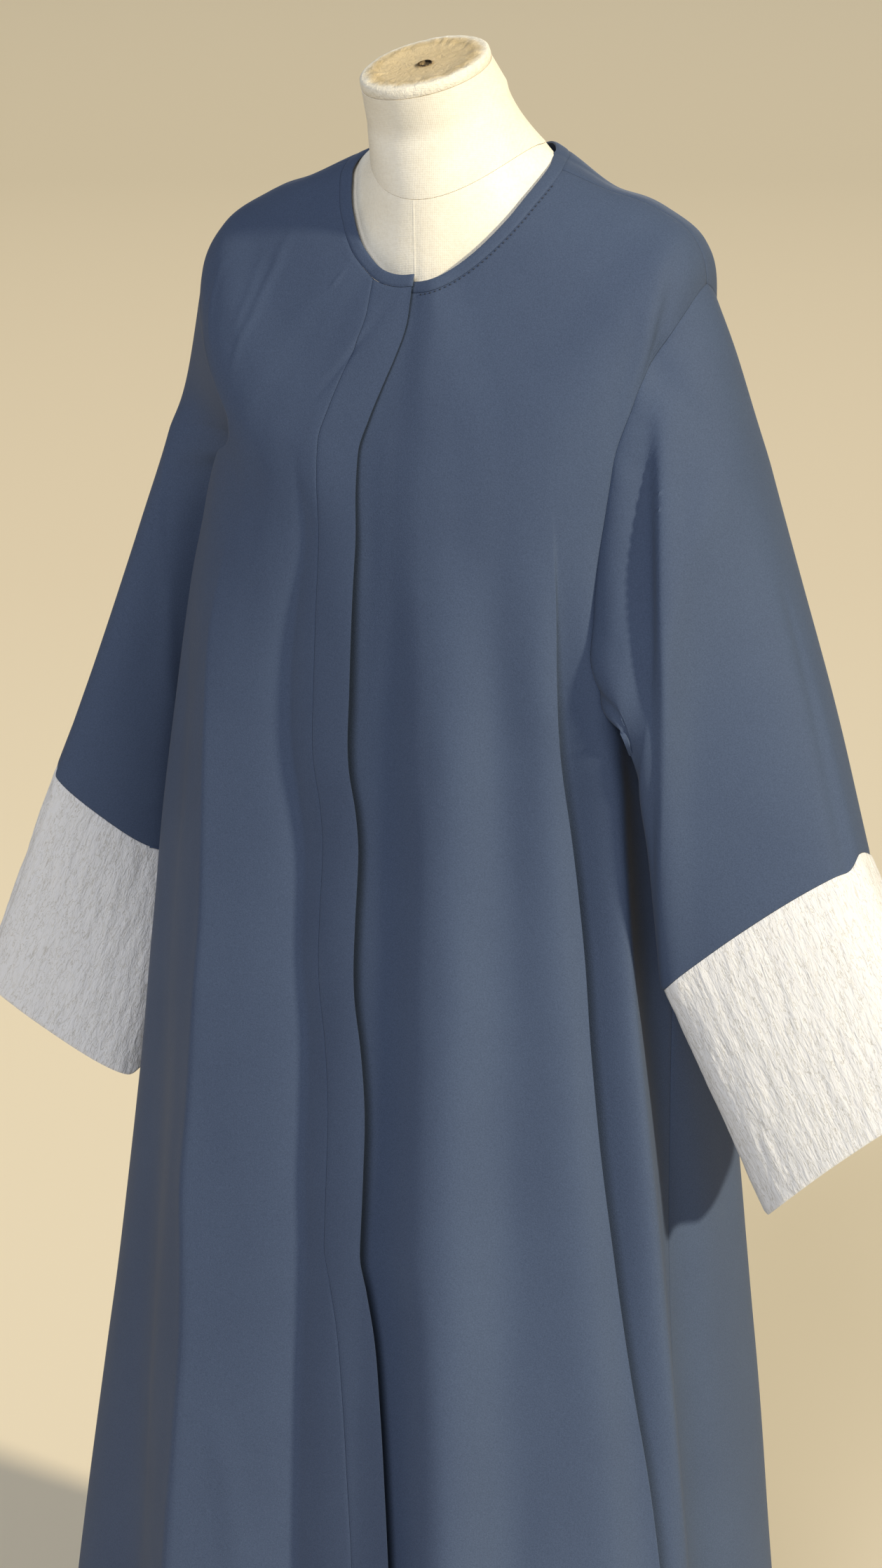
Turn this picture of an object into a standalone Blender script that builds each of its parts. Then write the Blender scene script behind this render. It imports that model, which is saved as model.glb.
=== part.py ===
"""Abaya cloak on a limbless dress form. Tables are in millimetres, angles in degrees.

+X is the wearer's left, -Y the front, +Z up. The underside of the stand's base is at Z = 0.
Round the body an angle of 0 is the centre front, 90 the wearer's left and -90 the wearer's right.
"""

import bpy
import numpy as np

MM = 0.001
CLOTH = 2.0  # wall of the body panels and sleeves
CUFF_CLOTH = 2.2
BINDING_CLOTH = 2.4
SEAM_HALF_GAP = 0.2  # each piece stops this far short of its seam line
LAP_DROP = 3.4  # how far the under layer lies below the lapping front at the neck
LAP_DROP_LOW = 6.4  # and from the waist down
LAP_LIFT = 11.0  # how far the free edge kicks out
LAP_STEP = 6.5
PLACKET_WIDTH = 37.0
UNDERLAP = 34.0
FORM_GAP = 1.4  # between the form's shoulders and the cloth
HEM_Z = 30.0

# One row per ring of the body cloth, from the neckline to the hem. "level" numbers the rings,
# right and left are half widths, front and back are depths from the centre line at mid_y.
RING_COLUMNS = ("level", "right", "left", "front", "back", "z_front", "z_side", "z_back", "mid_y", "power")
RINGS = (
    (0, 88, 88, 94, 60, 1357, 1450, 1434, 4, 2.0),
    (1, 130, 130, 108, 78, 1322, 1434, 1418, 4, 2.1),
    (2, 172, 172, 120, 92, 1280, 1414, 1392, 4, 2.2),
    (3, 207, 203, 129, 104, 1236, 1391, 1350, 3, 2.4),
    (4, 223, 214, 135, 112, 1198, 1352, 1306, 2, 2.35),
    (5, 210, 213, 139, 117, 1148, 1268, 1246, 1, 2.35),
    (6, 216, 205, 142, 120, 1096, 1182, 1172, 0, 2.45),
    (7, 232, 199, 145, 124, 1040, 1100, 1096, 0, 2.5),
    (8, 247, 199, 149, 131, 975, 1004, 1002, 0, 2.5),
    (9, 259, 203, 156, 141, 890, 900, 900, 0, 2.5),
    (10, 269, 212, 166, 156, 790, 792, 792, 0, 2.5),
    (11, 285, 228, 180, 180, 640, 640, 640, 0, 2.4),
    (12, 308, 244, 194, 204, 450, 450, 450, 0, 2.4),
    (13, 338, 260, 206, 226, 240, 240, 240, 0, 2.3),
    (14, 362, 275, 218, 246, 30, 30, 30, 0, 2.3),
)

# One row per fold of the body cloth: its angle where it starts, where it is full and at the hem,
# the heights where it starts and where it is full, how far it stands out (or in, if negative)
# there and at the hem, and its half width in degrees at the top and at the hem.
FOLD_COLUMNS = (
    "name", "angle_top", "angle_full", "angle_hem", "z_start", "z_full", "out", "out_hem", "wide", "wide_hem"
)
FOLDS = (
    ("right_front_ridge", -43, -34, -24, 1190, 1040, 11, 24, 9, 8),
    ("right_side_hollow", -62, -58, -48, 1160, 960, -9, -24, 13, 13),
    ("right_side_ridge", -88, -85, -76, 1100, 860, 5, 16, 14, 14),
    ("right_back_hollow", -112, -110, -106, 1080, 800, -6, -18, 12, 13),
    ("right_lap_valley", -18, -13, -10, 1190, 1040, -11, -18, 6, 6),
    ("left_front_swell", 8, 10, 12, 1200, 980, 5, 13, 5, 5.5),
    ("left_front_trough", 20, 25, 29, 1200, 1000, -7, -13, 8, 8),
    ("left_front_ridge", 28, 36.5, 53, 1200, 1010, 9, 16, 6, 6),
    ("left_front_valley", 36, 42.5, 62, 1170, 980, -13, -22, 5, 5),
    ("left_outer_ridge", 44, 53, 68, 1170, 960, 10, 19, 7, 7),
    ("left_side_valley", 72, 75, 86, 1020, 780, -10, -24, 8, 9),
    ("left_back_ridge", 108, 110, 114, 900, 620, 8, 15, 12, 12),
    ("left_back_valley", 137, 137, 137, 1120, 800, -8, -20, 13, 12),
    ("back_left_ridge", 159, 159, 160, 1120, 800, 7, 20, 11, 11),
    ("back_valley", 180, 180, 181, 1060, 760, -7, -18, 11, 10),
    ("back_right_ridge", -158, -158, -159, 1120, 800, 7, 20, 11, 11),
    ("right_back_valley", -134, -134, -134, 1120, 800, -9, -20, 12, 11),
)

# Armhole on the body cloth: share of its depth against how far it cuts in from the side seam.
ARMHOLE_TOP_LEVEL = 3.92
ARMHOLE_FOOT_LEVEL = 7.9
SEAM_SWING = 15.0  # degrees that the side seams come forward on their way to the hem
SHOULDER_SWING = 9.0  # and the shoulder seams at the neck
SHOULDER_SWING_LEVELS = 2.6
ARMHOLE_COLUMNS = ("share", "front_left", "front_right", "back")
ARMHOLE = (
    (0.0, 0, 0, 0),
    (0.035, 12, 24, 8),
    (0.085, 28, 44, 14),
    (0.14, 33, 46, 17),
    (0.22, 37, 43, 21),
    (0.3, 38, 36, 24),
    (0.4, 38.5, 30, 26),
    (0.5, 39, 25, 28),
    (0.65, 39.5, 21, 30),
    (0.84, 38.5, 17, 30),
    (0.94, 30, 13, 22),
    (1.0, 0, 0, 0),
)

# Free edge of the lapping front: height against sideways place, wearer's left positive.
LAP_EDGE_COLUMNS = ("z", "x")
LAP_EDGE = (
    (1360, 3),
    (1330, 4),
    (1300, -3),
    (1280, -10),
    (1250, -20),
    (1225, -26),
    (1198, -25),
    (1150, -22),
    (1096, -22),
    (1040, -22),
    (975, -21),
    (940, -14),
    (905, -11),
    (850, -12),
    (790, -10),
    (750, -3),
    (700, 3),
    (640, 4),
    (580, 3),
    (550, 10),
    (520, 17),
    (450, 26),
    (380, 32),
    (300, 38),
    (30, 44),
)

# Sleeves, left one; the right one has its own rows. W is the outer, upper edge of the flattened
# tube and V its inner, lower edge; front and back are how far the cloth stands from their middle.
SLEEVE_COLUMNS = ("share", "wx", "wy", "wz", "vx", "vy", "vz", "front", "back")
SLEEVE_LEFT = (
    (0.0, 214, 2, 1352, 201, 0, 1012, 95, 80),
    (0.1, 232, -3, 1312, 213, -32, 1001, 90, 86),
    (0.25, 254, -8, 1243, 202, -70, 976, 74, 96),
    (0.5, 291, -15, 1136, 209, -81, 917, 52, 98),
    (0.75, 329, -21, 1029, 214, -80, 866, 45, 93),
    (1.0, 363, -26, 920, 218, -76, 812, 41, 84),
)
SLEEVE_RIGHT = (
    (0.0, -223, 2, 1352, -238, 0, 1012, 95, 80),
    (0.1, -234, 0, 1312, -246, 30, 1000, 68, 78),
    (0.25, -251, -3, 1246, -256, 44, 975, 54, 72),
    (0.5, -287, -8, 1142, -266, 43, 930, 48, 64),
    (0.75, -328, -14, 1030, -276, 41, 885, 47, 58),
    (1.0, -374, -20, 916, -285, 38, 836, 46, 52),
)
CUFF_LEFT = (
    (0.0, 363, -26, 920, 218, -76, 812, 41, 84),
    (0.5, 407, -31, 834, 261, -70, 721, 40, 72),
    (1.0, 450, -36, 747, 303, -62, 629, 38, 62),
)
CUFF_RIGHT = (
    (0.0, -374, -20, 916, -285, 38, 836, 46, 52),
    (0.5, -413, -24, 818, -292, 24, 735, 42, 47),
    (1.0, -451, -28, 720, -312, 4, 636, 39, 44),
)
# Sleeve folds, one row each: height at the top and at the cuff seam, half width in degrees, share
# where it starts, and the places it runs through as (share, degrees round the tube), where 0 is
# the outer edge, 90 the front, 180 the inner edge and 270 the back.
SLEEVE_FOLD_COLUMNS = ("name", "out", "out_end", "wide", "start", "path")
SLEEVE_FOLDS = (
    ("front_crease", 9, 5, 11, 0.03, ((0.05, 30), (0.1, 44), (0.2, 72), (0.3, 94), (0.5, 120), (1, 152))),
    ("crease_hollow", -17, -8, 13, 0.03, ((0.1, 60), (0.2, 92), (0.3, 110), (0.5, 136), (1, 170))),
    ("outer_band", -4, -4, 5, 0.45, ((0.6, 8), (0.8, 16), (1, 22))),
    ("back_hollow", -10, -6, 22, 0.15, ((0, 238), (1, 242))),
)

# The form: rings like the cloth's. Level 0 is the seam at the foot of the neck.
FORM_RINGS = (
    (0, 69, 69, 88, 54, 1420, 1459, 1462, 4, 2.0),
    (1, 190, 188, 116, 92, 1226, 1384, 1344, 3, 2.4),
    (2, 190, 186, 120, 98, 1180, 1300, 1280, 2, 2.5),
    (3, 178, 176, 123, 102, 1130, 1215, 1210, 0, 2.5),
    (4, 160, 160, 112, 98, 1080, 1120, 1120, 0, 2.4),
    (5, 134, 134, 94, 86, 1010, 1020, 1020, 0, 2.2),
    (6, 150, 150, 100, 104, 930, 930, 930, 4, 2.2),
    (7, 172, 172, 112, 122, 830, 830, 830, 6, 2.2),
    (8, 174, 174, 112, 120, 770, 770, 770, 6, 2.2),
)
# Neck tube, from the seam at its foot to under the cap: middle, half width, half depth, tilt.
NECK_COLUMNS = ("x", "y", "z", "half_wide", "half_deep", "tilt")
NECK_FOOT_GAP = 0.5
NECK_SHARES = (0.12, 0.28, 0.5, 0.75)
NECK_FLARE = 1.45
NECK = (
    (-3, -35, 1492, 56, 58, 24),
    (-5, -50, 1516, 51.5, 54, 20),
)
CAP_TILT = 20.0
CAP_LEAN = 5.0  # sideways, lower at the wearer's right
CAP_THICK = 9.0
SLOT_HALF_WIDE = 5.5  # a screw hole in the middle of the cap
SLOT_HALF_DEEP = 5.5
SLOT_DEEP = 6.0
POLE_RADIUS = 16.0
BASE_RADIUS = 165.0
BASE_THICK = 16.0

COLLECTION = "abaya_cloak_on_dress_form"


def clear_scene():
    for thing in list(bpy.data.objects):
        bpy.data.objects.remove(thing, do_unlink=True)


def table_at(rows, names, column, at):
    """A smooth curve through one column of a table; the first column is the running one."""
    run = np.array([row[0] for row in rows], float)
    val = np.array([row[names.index(column)] for row in rows], float)
    if run[0] > run[-1]:
        run, val = run[::-1], val[::-1]
    at = np.clip(np.asarray(at, float), run[0], run[-1])
    slope = np.gradient(val, run)
    step = np.diff(val) / np.diff(run)
    for k in range(1, len(run) - 1):
        if step[k - 1] * step[k] <= 0:
            slope[k] = 0
    i = np.clip(np.searchsorted(run, at, side="right") - 1, 0, len(run) - 2)
    h = run[i + 1] - run[i]
    t = (at - run[i]) / h
    a = val[i] * (1 + 2 * t) * (1 - t) ** 2 + val[i + 1] * t * t * (3 - 2 * t)
    return a + h * (slope[i] * t * (1 - t) ** 2 - slope[i + 1] * t * t * (1 - t))


def ease(x):
    x = np.clip(x, 0, 1)
    return x * x * (3 - 2 * x)


def wrap(angle):
    return (np.asarray(angle, float) + 180) % 360 - 180


def ring_point(rows, angle, level):
    """Points of a ringed surface without folds."""
    a = np.radians(wrap(angle))
    col = {name: table_at(rows, RING_COLUMNS, name, level) for name in RING_COLUMNS[1:]}
    s, c = np.sin(a), np.cos(a)
    e = 2 / col["power"]
    # A right angle keeps a finite slope, so that the seam columns stay smooth.
    sx = np.sign(s) * np.abs(s) ** e
    cy = np.sign(c) * np.abs(c) ** e
    side = np.where(s > 0, col["left"], col["right"])
    deep = np.where(c > 0, col["front"], col["back"])
    z_end = np.where(c > 0, col["z_front"], col["z_back"])
    z = col["z_side"] + (z_end - col["z_side"]) * np.abs(c) ** 1.7
    return np.stack([sx * side, col["mid_y"] - cy * deep, z], -1)


def fold_height(angle, z):
    """How far the folds move the body cloth outwards."""
    out = np.zeros(np.broadcast(angle, z).shape)
    for row in FOLDS:
        f = dict(zip(FOLD_COLUMNS, row))
        down = np.clip((f["z_start"] - z) / (f["z_start"] - HEM_Z), 0, 1)
        full = (f["z_start"] - f["z_full"]) / (f["z_start"] - HEM_Z)
        mid = np.interp(down, [0, full, 1], [f["angle_top"], f["angle_full"], f["angle_hem"]])
        wide = f["wide"] + (f["wide_hem"] - f["wide"]) * down
        rise = f["out"] * ease(down / full)
        rise = rise + (f["out_hem"] - f["out"]) * ease((down - full) / (1 - full))
        out = out + rise * np.exp(-((wrap(angle - mid) / wide) ** 2))
    return out


def body_point(angle, level, lift=0.0):
    """Points of the body cloth's outer face, lifted outwards where asked."""
    p = ring_point(RINGS, angle, level)
    mid_y = table_at(RINGS, RING_COLUMNS, "mid_y", level) + p[..., 1] * 0
    middle = np.stack([p[..., 0] * 0, mid_y, p[..., 2]], -1)
    ray = p - middle
    ray = ray / np.maximum(np.linalg.norm(ray, axis=-1, keepdims=True), 1e-6)
    return p + ray * (fold_height(angle, p[..., 2]) + lift)[..., None]


def body_normal(angle, level):
    da, dl = 0.6, 0.02
    lo, hi = np.clip(level - dl, 0, 14), np.clip(level + dl, 0, 14)
    across = body_point(angle + da, level) - body_point(angle - da, level)
    down = body_point(angle, hi) - body_point(angle, lo)
    n = np.cross(down, across)
    return n / np.linalg.norm(n, axis=-1, keepdims=True)


def angle_at_x(level, x):
    """Front angle where the body cloth has this sideways place."""
    col = {name: table_at(RINGS, RING_COLUMNS, name, level) for name in ("left", "right", "power")}
    side = np.where(x > 0, col["left"], col["right"])
    return np.sign(x) * np.degrees(np.arcsin(np.clip(np.abs(x) / side, 0, 1) ** (col["power"] / 2)))


def lap_angle(level, inward=0.0):
    """Angle of the lapping front's free edge, moved towards the wearer's right by a width."""
    z = table_at(RINGS, RING_COLUMNS, "z_front", level)
    return angle_at_x(level, table_at(LAP_EDGE, LAP_EDGE_COLUMNS, "x", z) - inward)


def under_drop(angle, level):
    """The under layer lies deeper beneath the lapping front and comes up beside its edge."""
    beyond = wrap(angle - lap_angle(level))
    drop = LAP_DROP + (LAP_DROP_LOW - LAP_DROP) * ease((level - 1.0) / 6.0)
    return -drop * (1 - ease((beyond - 0.5) / 10.0))


def lap_lift(angle, level):
    """The lapping front kicks outwards along its free edge, more so from the waist down."""
    before = wrap(lap_angle(level) - angle)
    return LAP_LIFT * ease((level - 1.5) / 6.0) * np.exp(-((before / 7.0) ** 2))


def lap_rise(points, angle, level):
    """At the neck the lapping front runs straight across and ends a step above the under layer."""
    beyond = points[..., 0] - (table_at(LAP_EDGE, LAP_EDGE_COLUMNS, "x", points[..., 2]) - PLACKET_WIDTH)
    share = np.clip(beyond / PLACKET_WIDTH, 0, 1) * (np.abs(wrap(angle)) < 60)
    rise = LAP_STEP * share * (1 - ease(level / 1.4))
    return points + rise[..., None] * np.array([0, 0, 1.0])


def armhole_cut(share, column):
    return table_at(ARMHOLE, ARMHOLE_COLUMNS, column, share)


def shrink(grid, sides):
    """Moves the named borders of a grid inwards by the seam's half gap."""
    grid = grid.copy()
    for side in sides:
        rows = {"top": (0, 1), "foot": (-1, -2)}.get(side)
        if rows:
            step = grid[rows[1]] - grid[rows[0]]
            size = np.linalg.norm(step, axis=-1, keepdims=True)
            grid[rows[0]] += step / np.maximum(size, 1e-6) * SEAM_HALF_GAP
        else:
            a, b = {"start": (0, 1), "end": (-1, -2)}[side]
            step = grid[:, b] - grid[:, a]
            size = np.linalg.norm(step, axis=-1, keepdims=True)
            grid[:, a] += step / np.maximum(size, 1e-6) * SEAM_HALF_GAP
    return grid


def material(name, rgb):
    made = bpy.data.materials.new(name)
    made.use_nodes = True
    made.node_tree.nodes["Principled BSDF"].inputs["Base Color"].default_value = (*rgb, 1)
    made.node_tree.nodes["Principled BSDF"].inputs["Roughness"].default_value = 0.85
    return made


def add_object(name, points, faces, rgb):
    mesh = bpy.data.meshes.new(name)
    mesh.from_pydata([tuple(p * MM) for p in points], [], faces)
    mesh.update()
    thing = bpy.data.objects.new(name, mesh)
    bpy.data.collections[COLLECTION].objects.link(thing)
    mesh.materials.append(material(name + "_material", rgb))
    for polygon in mesh.polygons:
        polygon.use_smooth = False
    return thing


def wall(name, outer, inner, rgb, closed=False):
    """A closed wall between two grids of points; closed joins the last column to the first."""
    rows, cols = outer.shape[:2]
    points = np.concatenate([outer.reshape(-1, 3), inner.reshape(-1, 3)])
    far = rows * cols

    def at(i, j, side=0):
        return side * far + i * cols + j % cols

    faces = []
    last = cols if closed else cols - 1
    for i in range(rows - 1):
        for j in range(last):
            faces.append((at(i, j), at(i + 1, j), at(i + 1, j + 1), at(i, j + 1)))
            faces.append((at(i, j, 1), at(i, j + 1, 1), at(i + 1, j + 1, 1), at(i + 1, j, 1)))
    for j in range(last):
        faces.append((at(0, j), at(0, j + 1), at(0, j + 1, 1), at(0, j, 1)))
        i = rows - 1
        faces.append((at(i, j), at(i, j, 1), at(i, j + 1, 1), at(i, j + 1)))
    if not closed:
        for i in range(rows - 1):
            faces.append((at(i, 0), at(i, 0, 1), at(i + 1, 0, 1), at(i + 1, 0)))
            j = cols - 1
            faces.append((at(i, j), at(i + 1, j), at(i + 1, j, 1), at(i, j, 1)))
    triangles = []
    for a, b, c, d in faces:
        if np.linalg.norm(points[a] - points[c]) <= np.linalg.norm(points[b] - points[d]):
            triangles += [(a, b, c), (a, c, d)]
        else:
            triangles += [(a, b, d), (b, c, d)]
    return add_object(name, points, triangles, rgb)


def panel(name, angles, levels, rgb, sides, lift=0.0, drop=0.0, laps=True, thick=CLOTH):
    """A body piece from a grid of angles and levels; laps marks where it belongs to the lapping front."""
    drop = drop + np.where(laps, lap_lift(angles, levels), 0.0)
    grid = body_point(angles, levels, lift + drop)
    grid = shrink(np.where(np.asarray(laps)[..., None], lap_rise(grid, angles, levels), grid), sides)
    normal = body_normal(angles, levels)
    return wall(name, grid, grid - normal * thick, rgb)


HALF_TURNS = 14
EVEN = np.arange(HALF_TURNS + 1) / HALF_TURNS
SHARES = 0.45 * EVEN + 0.55 * (1 - np.cos(np.pi * EVEN)) / 2
ARMHOLE_LEVELS = ARMHOLE_TOP_LEVEL + (ARMHOLE_FOOT_LEVEL - ARMHOLE_TOP_LEVEL) * SHARES
SLEEVE_SHARES = np.array(
    [0, 0.03, 0.06, 0.09, 0.12, 0.15, 0.19, 0.24, 0.29, 0.35, 0.44, 0.55, 0.67, 0.79, 0.9, 1.0]
)
CUFF_SHARES = np.linspace(0, 1, 5)
BINDING_LEVEL = 0.30
PANEL_TOP_LEVEL = 0.325  # leaves the binding its seam gap
FRONT_TURN = 40.0  # columns nearer the front edge than this run straight down
BACK_TURN = 55.0


def body_levels():
    above = np.linspace(PANEL_TOP_LEVEL, ARMHOLE_TOP_LEVEL, 7)[:-1]
    below = np.array([8.15, 8.5, 8.9, 9.4, 9.9, 10.4, 10.9, 11.5, 12.1, 12.7, 13.3, 14.0])
    return np.concatenate([above, ARMHOLE_LEVELS, below])


def side_angle(levels, column):
    """Angle of the front's or the back's edge: the armhole, and the side seam above and below it."""
    share = (levels - ARMHOLE_TOP_LEVEL) / (ARMHOLE_FOOT_LEVEL - ARMHOLE_TOP_LEVEL)
    inside = (share > 0) & (share < 1)
    cut = np.where(inside, armhole_cut(np.clip(share, 0, 1), column), 0)
    swing = SEAM_SWING * ease((levels - ARMHOLE_FOOT_LEVEL) / 4.5)
    swing = swing + SHOULDER_SWING * (1 - ease(levels / SHOULDER_SWING_LEVELS))
    return 90 - cut - (-swing if column == "back" else swing)


def spread(first, last, count):
    t = np.linspace(0, 1, count)
    return first[:, None] + (last - first)[:, None] * t[None, :]


def columns(first, last, turn, count, squeezed):
    """Angles that stay the same down the panel up to the turn; only those beyond it follow the armhole."""
    still = spread(first, first * 0 + turn, count)
    return np.concatenate([still[:, :-1], spread(first * 0 + turn, last, squeezed)], axis=1)


BLUE = (0.085, 0.105, 0.150)
IVORY = (0.70, 0.66, 0.58)
LINEN = (0.80, 0.70, 0.50)
METAL = (0.20, 0.19, 0.18)


def make_panels():
    levels = body_levels()
    edge = lap_angle(levels)
    stitch = lap_angle(levels, PLACKET_WIDTH)
    under = lap_angle(levels, UNDERLAP)
    side_right = side_angle(levels, "front_right")
    side_left = side_angle(levels, "front_left")
    angles = columns(stitch, -side_right, -FRONT_TURN, 8, 7)[:, ::-1]
    grid = np.broadcast_to(levels[:, None], angles.shape)
    panel("front_right", angles, grid, BLUE, ("top", "start", "end"))
    angles = spread(stitch, edge, 4)
    grid = np.broadcast_to(levels[:, None], angles.shape)
    panel("placket", angles, grid, BLUE, ("top", "start"))
    angles = columns(under, side_left, FRONT_TURN, 11, 7)
    grid = np.broadcast_to(levels[:, None], angles.shape)
    drop = under_drop(angles, grid)
    panel("front_left", angles, grid, BLUE, ("top", "end"), drop=drop, laps=False)
    cut = 90 - side_angle(levels, "back")
    left = columns(levels * 0 + 180, 90 + cut, 180 - BACK_TURN, 9, 6)[:, ::-1]
    right = columns(levels * 0 + 180, 270 - cut, 180 + BACK_TURN, 9, 6)
    angles = np.concatenate([left[:, :-1], right], axis=1)
    grid = np.broadcast_to(levels[:, None], angles.shape)
    panel("back", angles, grid, BLUE, ("top", "start", "end"), laps=False)


def make_neck_binding():
    levels = np.array([0.0, 0.15, BINDING_LEVEL])
    edge = lap_angle(levels)
    under = lap_angle(levels, UNDERLAP)
    # From beneath the lap, round by the left shoulder and the back, to the lap's own edge.
    angles = spread(under, edge + 360, 49)
    grid = np.broadcast_to(levels[:, None], angles.shape)
    drop = np.where(angles < 180, under_drop(angles, grid), 0.0)
    laps = angles > 180
    panel("neck_binding", angles, grid, BLUE, ("foot",), 0.5, drop, laps, BINDING_CLOTH)


def sleeve_section(rows, share, turns):
    """One loop of a sleeve or cuff without its blend into the armhole."""
    col = {name: float(table_at(rows, SLEEVE_COLUMNS, name, share)) for name in SLEEVE_COLUMNS[1:]}
    w = np.array([col["wx"], col["wy"], col["wz"]])
    v = np.array([col["vx"], col["vy"], col["vz"]])
    t = np.radians(turns)
    c, s = np.cos(t), np.sin(t)
    middle, half = (w + v) / 2, (w - v) / 2
    ahead = np.where(s > 0, -col["front"], col["back"])
    flat = np.sign(c) * np.abs(c) ** 0.9
    return middle + flat[:, None] * half + (np.abs(s) ** 0.9 * ahead)[:, None] * np.array([0, 1.0, 0])


def armhole_loop(side, turns):
    """The armhole seam line at these turns, for the wearer's left (1) or right (-1)."""
    share = np.concatenate([SHARES, SHARES[-2:0:-1]])
    front = armhole_cut(share, "front_left" if side > 0 else "front_right")
    cut = np.where(turns <= 180, front, -armhole_cut(share, "back"))
    level = ARMHOLE_TOP_LEVEL + (ARMHOLE_FOOT_LEVEL - ARMHOLE_TOP_LEVEL) * share
    return body_point(side * (90 - cut), level), body_normal(side * (90 - cut), level)


def tube_normals(grid, side):
    down = np.gradient(grid, axis=0)
    across = (np.roll(grid, -1, axis=1) - np.roll(grid, 1, axis=1)) / 2
    n = np.cross(across, down) * side
    return n / np.maximum(np.linalg.norm(n, axis=-1, keepdims=True), 1e-9)


def add_folds(grid, side, shares, turns, cuff):
    """Sleeve folds run on over the cuff and fade there."""
    normal = tube_normals(grid, side)
    for i, share in enumerate(shares):
        for row in SLEEVE_FOLDS:
            f = dict(zip(SLEEVE_FOLD_COLUMNS, row))
            if cuff[i]:
                on, turn, out = 1.0 - 0.5 * share, f["path"][-1][1], f["out_end"]
            else:
                on = float(ease((share - f["start"]) / 0.15))
                turn = np.interp(share, [p[0] for p in f["path"]], [p[1] for p in f["path"]])
                out = f["out"] + (f["out_end"] - f["out"]) * share
            grid[i] += normal[i] * (on * out * np.exp(-((wrap(turns - turn) / f["wide"]) ** 2)))[:, None]


def make_sleeve(word, side, sleeve_rows, cuff_rows):
    """Sleeve and cuff as one run of loops, cut at the cuff seam, so that their walls butt there."""
    turns = np.arange(2 * HALF_TURNS) * 180.0 / HALF_TURNS
    hole, hole_normal = armhole_loop(side, turns)
    start = sleeve_section(sleeve_rows, 0.0, turns)
    loops = []
    for share in SLEEVE_SHARES:
        blend = float(ease(share / 0.3))
        loops.append(sleeve_section(sleeve_rows, share, turns) + (hole - start) * (1 - blend))
    loops += [sleeve_section(cuff_rows, share, turns) for share in CUFF_SHARES[1:]]
    grid = np.array(loops)
    shares = np.concatenate([SLEEVE_SHARES, CUFF_SHARES[1:]])
    cut = len(SLEEVE_SHARES)
    add_folds(grid, side, shares, turns, np.arange(len(shares)) >= cut)
    normal = tube_normals(grid, side)
    # At the armhole the wall is cut on the same slant as the body's, so that the two butt.
    for i, share in enumerate((1.0, 0.5)):
        normal[i] = hole_normal * share + normal[i] * (1 - share)
        normal[i] /= np.linalg.norm(normal[i], axis=-1, keepdims=True)
    for name, part, thick, rgb in (
        ("sleeve_" + word, slice(0, cut), CLOTH, BLUE),
        ("cuff_" + word, slice(cut - 1, None), CUFF_CLOTH, IVORY),
    ):
        outer = shrink(grid[part], ("top", "foot"))
        inner = outer - normal[part] * thick
        if side > 0:
            outer, inner = outer[:, ::-1], inner[:, ::-1]
        wall(name, outer, inner, rgb, closed=True)


def make_sleeves():
    make_sleeve("left", 1, SLEEVE_LEFT, CUFF_LEFT)
    make_sleeve("right", -1, SLEEVE_RIGHT, CUFF_RIGHT)


def loft(name, loops, rgb):
    """A solid through closed loops with a flat fan at each end."""
    grid = np.array(loops)
    rows, cols = grid.shape[:2]
    points = np.concatenate([grid.reshape(-1, 3), [grid[0].mean(axis=0)], [grid[-1].mean(axis=0)]])
    first, last = rows * cols, rows * cols + 1
    faces = []
    for i in range(rows - 1):
        for j in range(cols):
            a, b = i * cols + j, i * cols + (j + 1) % cols
            faces += [(a, a + cols, b + cols), (a, b + cols, b)]
    for j in range(cols):
        k = (j + 1) % cols
        faces.append((first, j, k))
        faces.append((last, (rows - 1) * cols + k, (rows - 1) * cols + j))
    return add_object(name, points, faces, rgb)


def tilted_loop(x, y, z, wide, deep, tilt, angles):
    """An oval loop that slopes down to the front and a little to the wearer's right."""
    a, k, lean = np.radians(angles), np.radians(tilt), np.radians(CAP_LEAN)
    ahead, across = -np.cos(a) * deep, np.sin(a) * wide
    rise = ahead * np.sin(k) + across * np.sin(lean)
    return np.stack([x + across * np.cos(lean), y + ahead * np.cos(k), z + rise], -1)


def form_shoulder(angles, level):
    """The form just under the cloth: it bears on the shoulders and stands clear to the front and back."""
    levels = np.full(angles.shape, level)
    clear = FORM_GAP + 6.0 * np.abs(np.cos(np.radians(angles))) ** 0.8
    return body_point(angles, levels) - body_normal(angles, levels) * (CLOTH + clear)[:, None]


def neck_flare(foot, top, share):
    """A loop part way up the neck, which draws in quickly from its foot."""
    loop = foot * (1 - share) + top * share
    in_by = 1 - (1 - share) ** NECK_FLARE
    loop[:, :2] = foot[:, :2] * (1 - in_by) + top[:, :2] * in_by
    return loop


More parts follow.
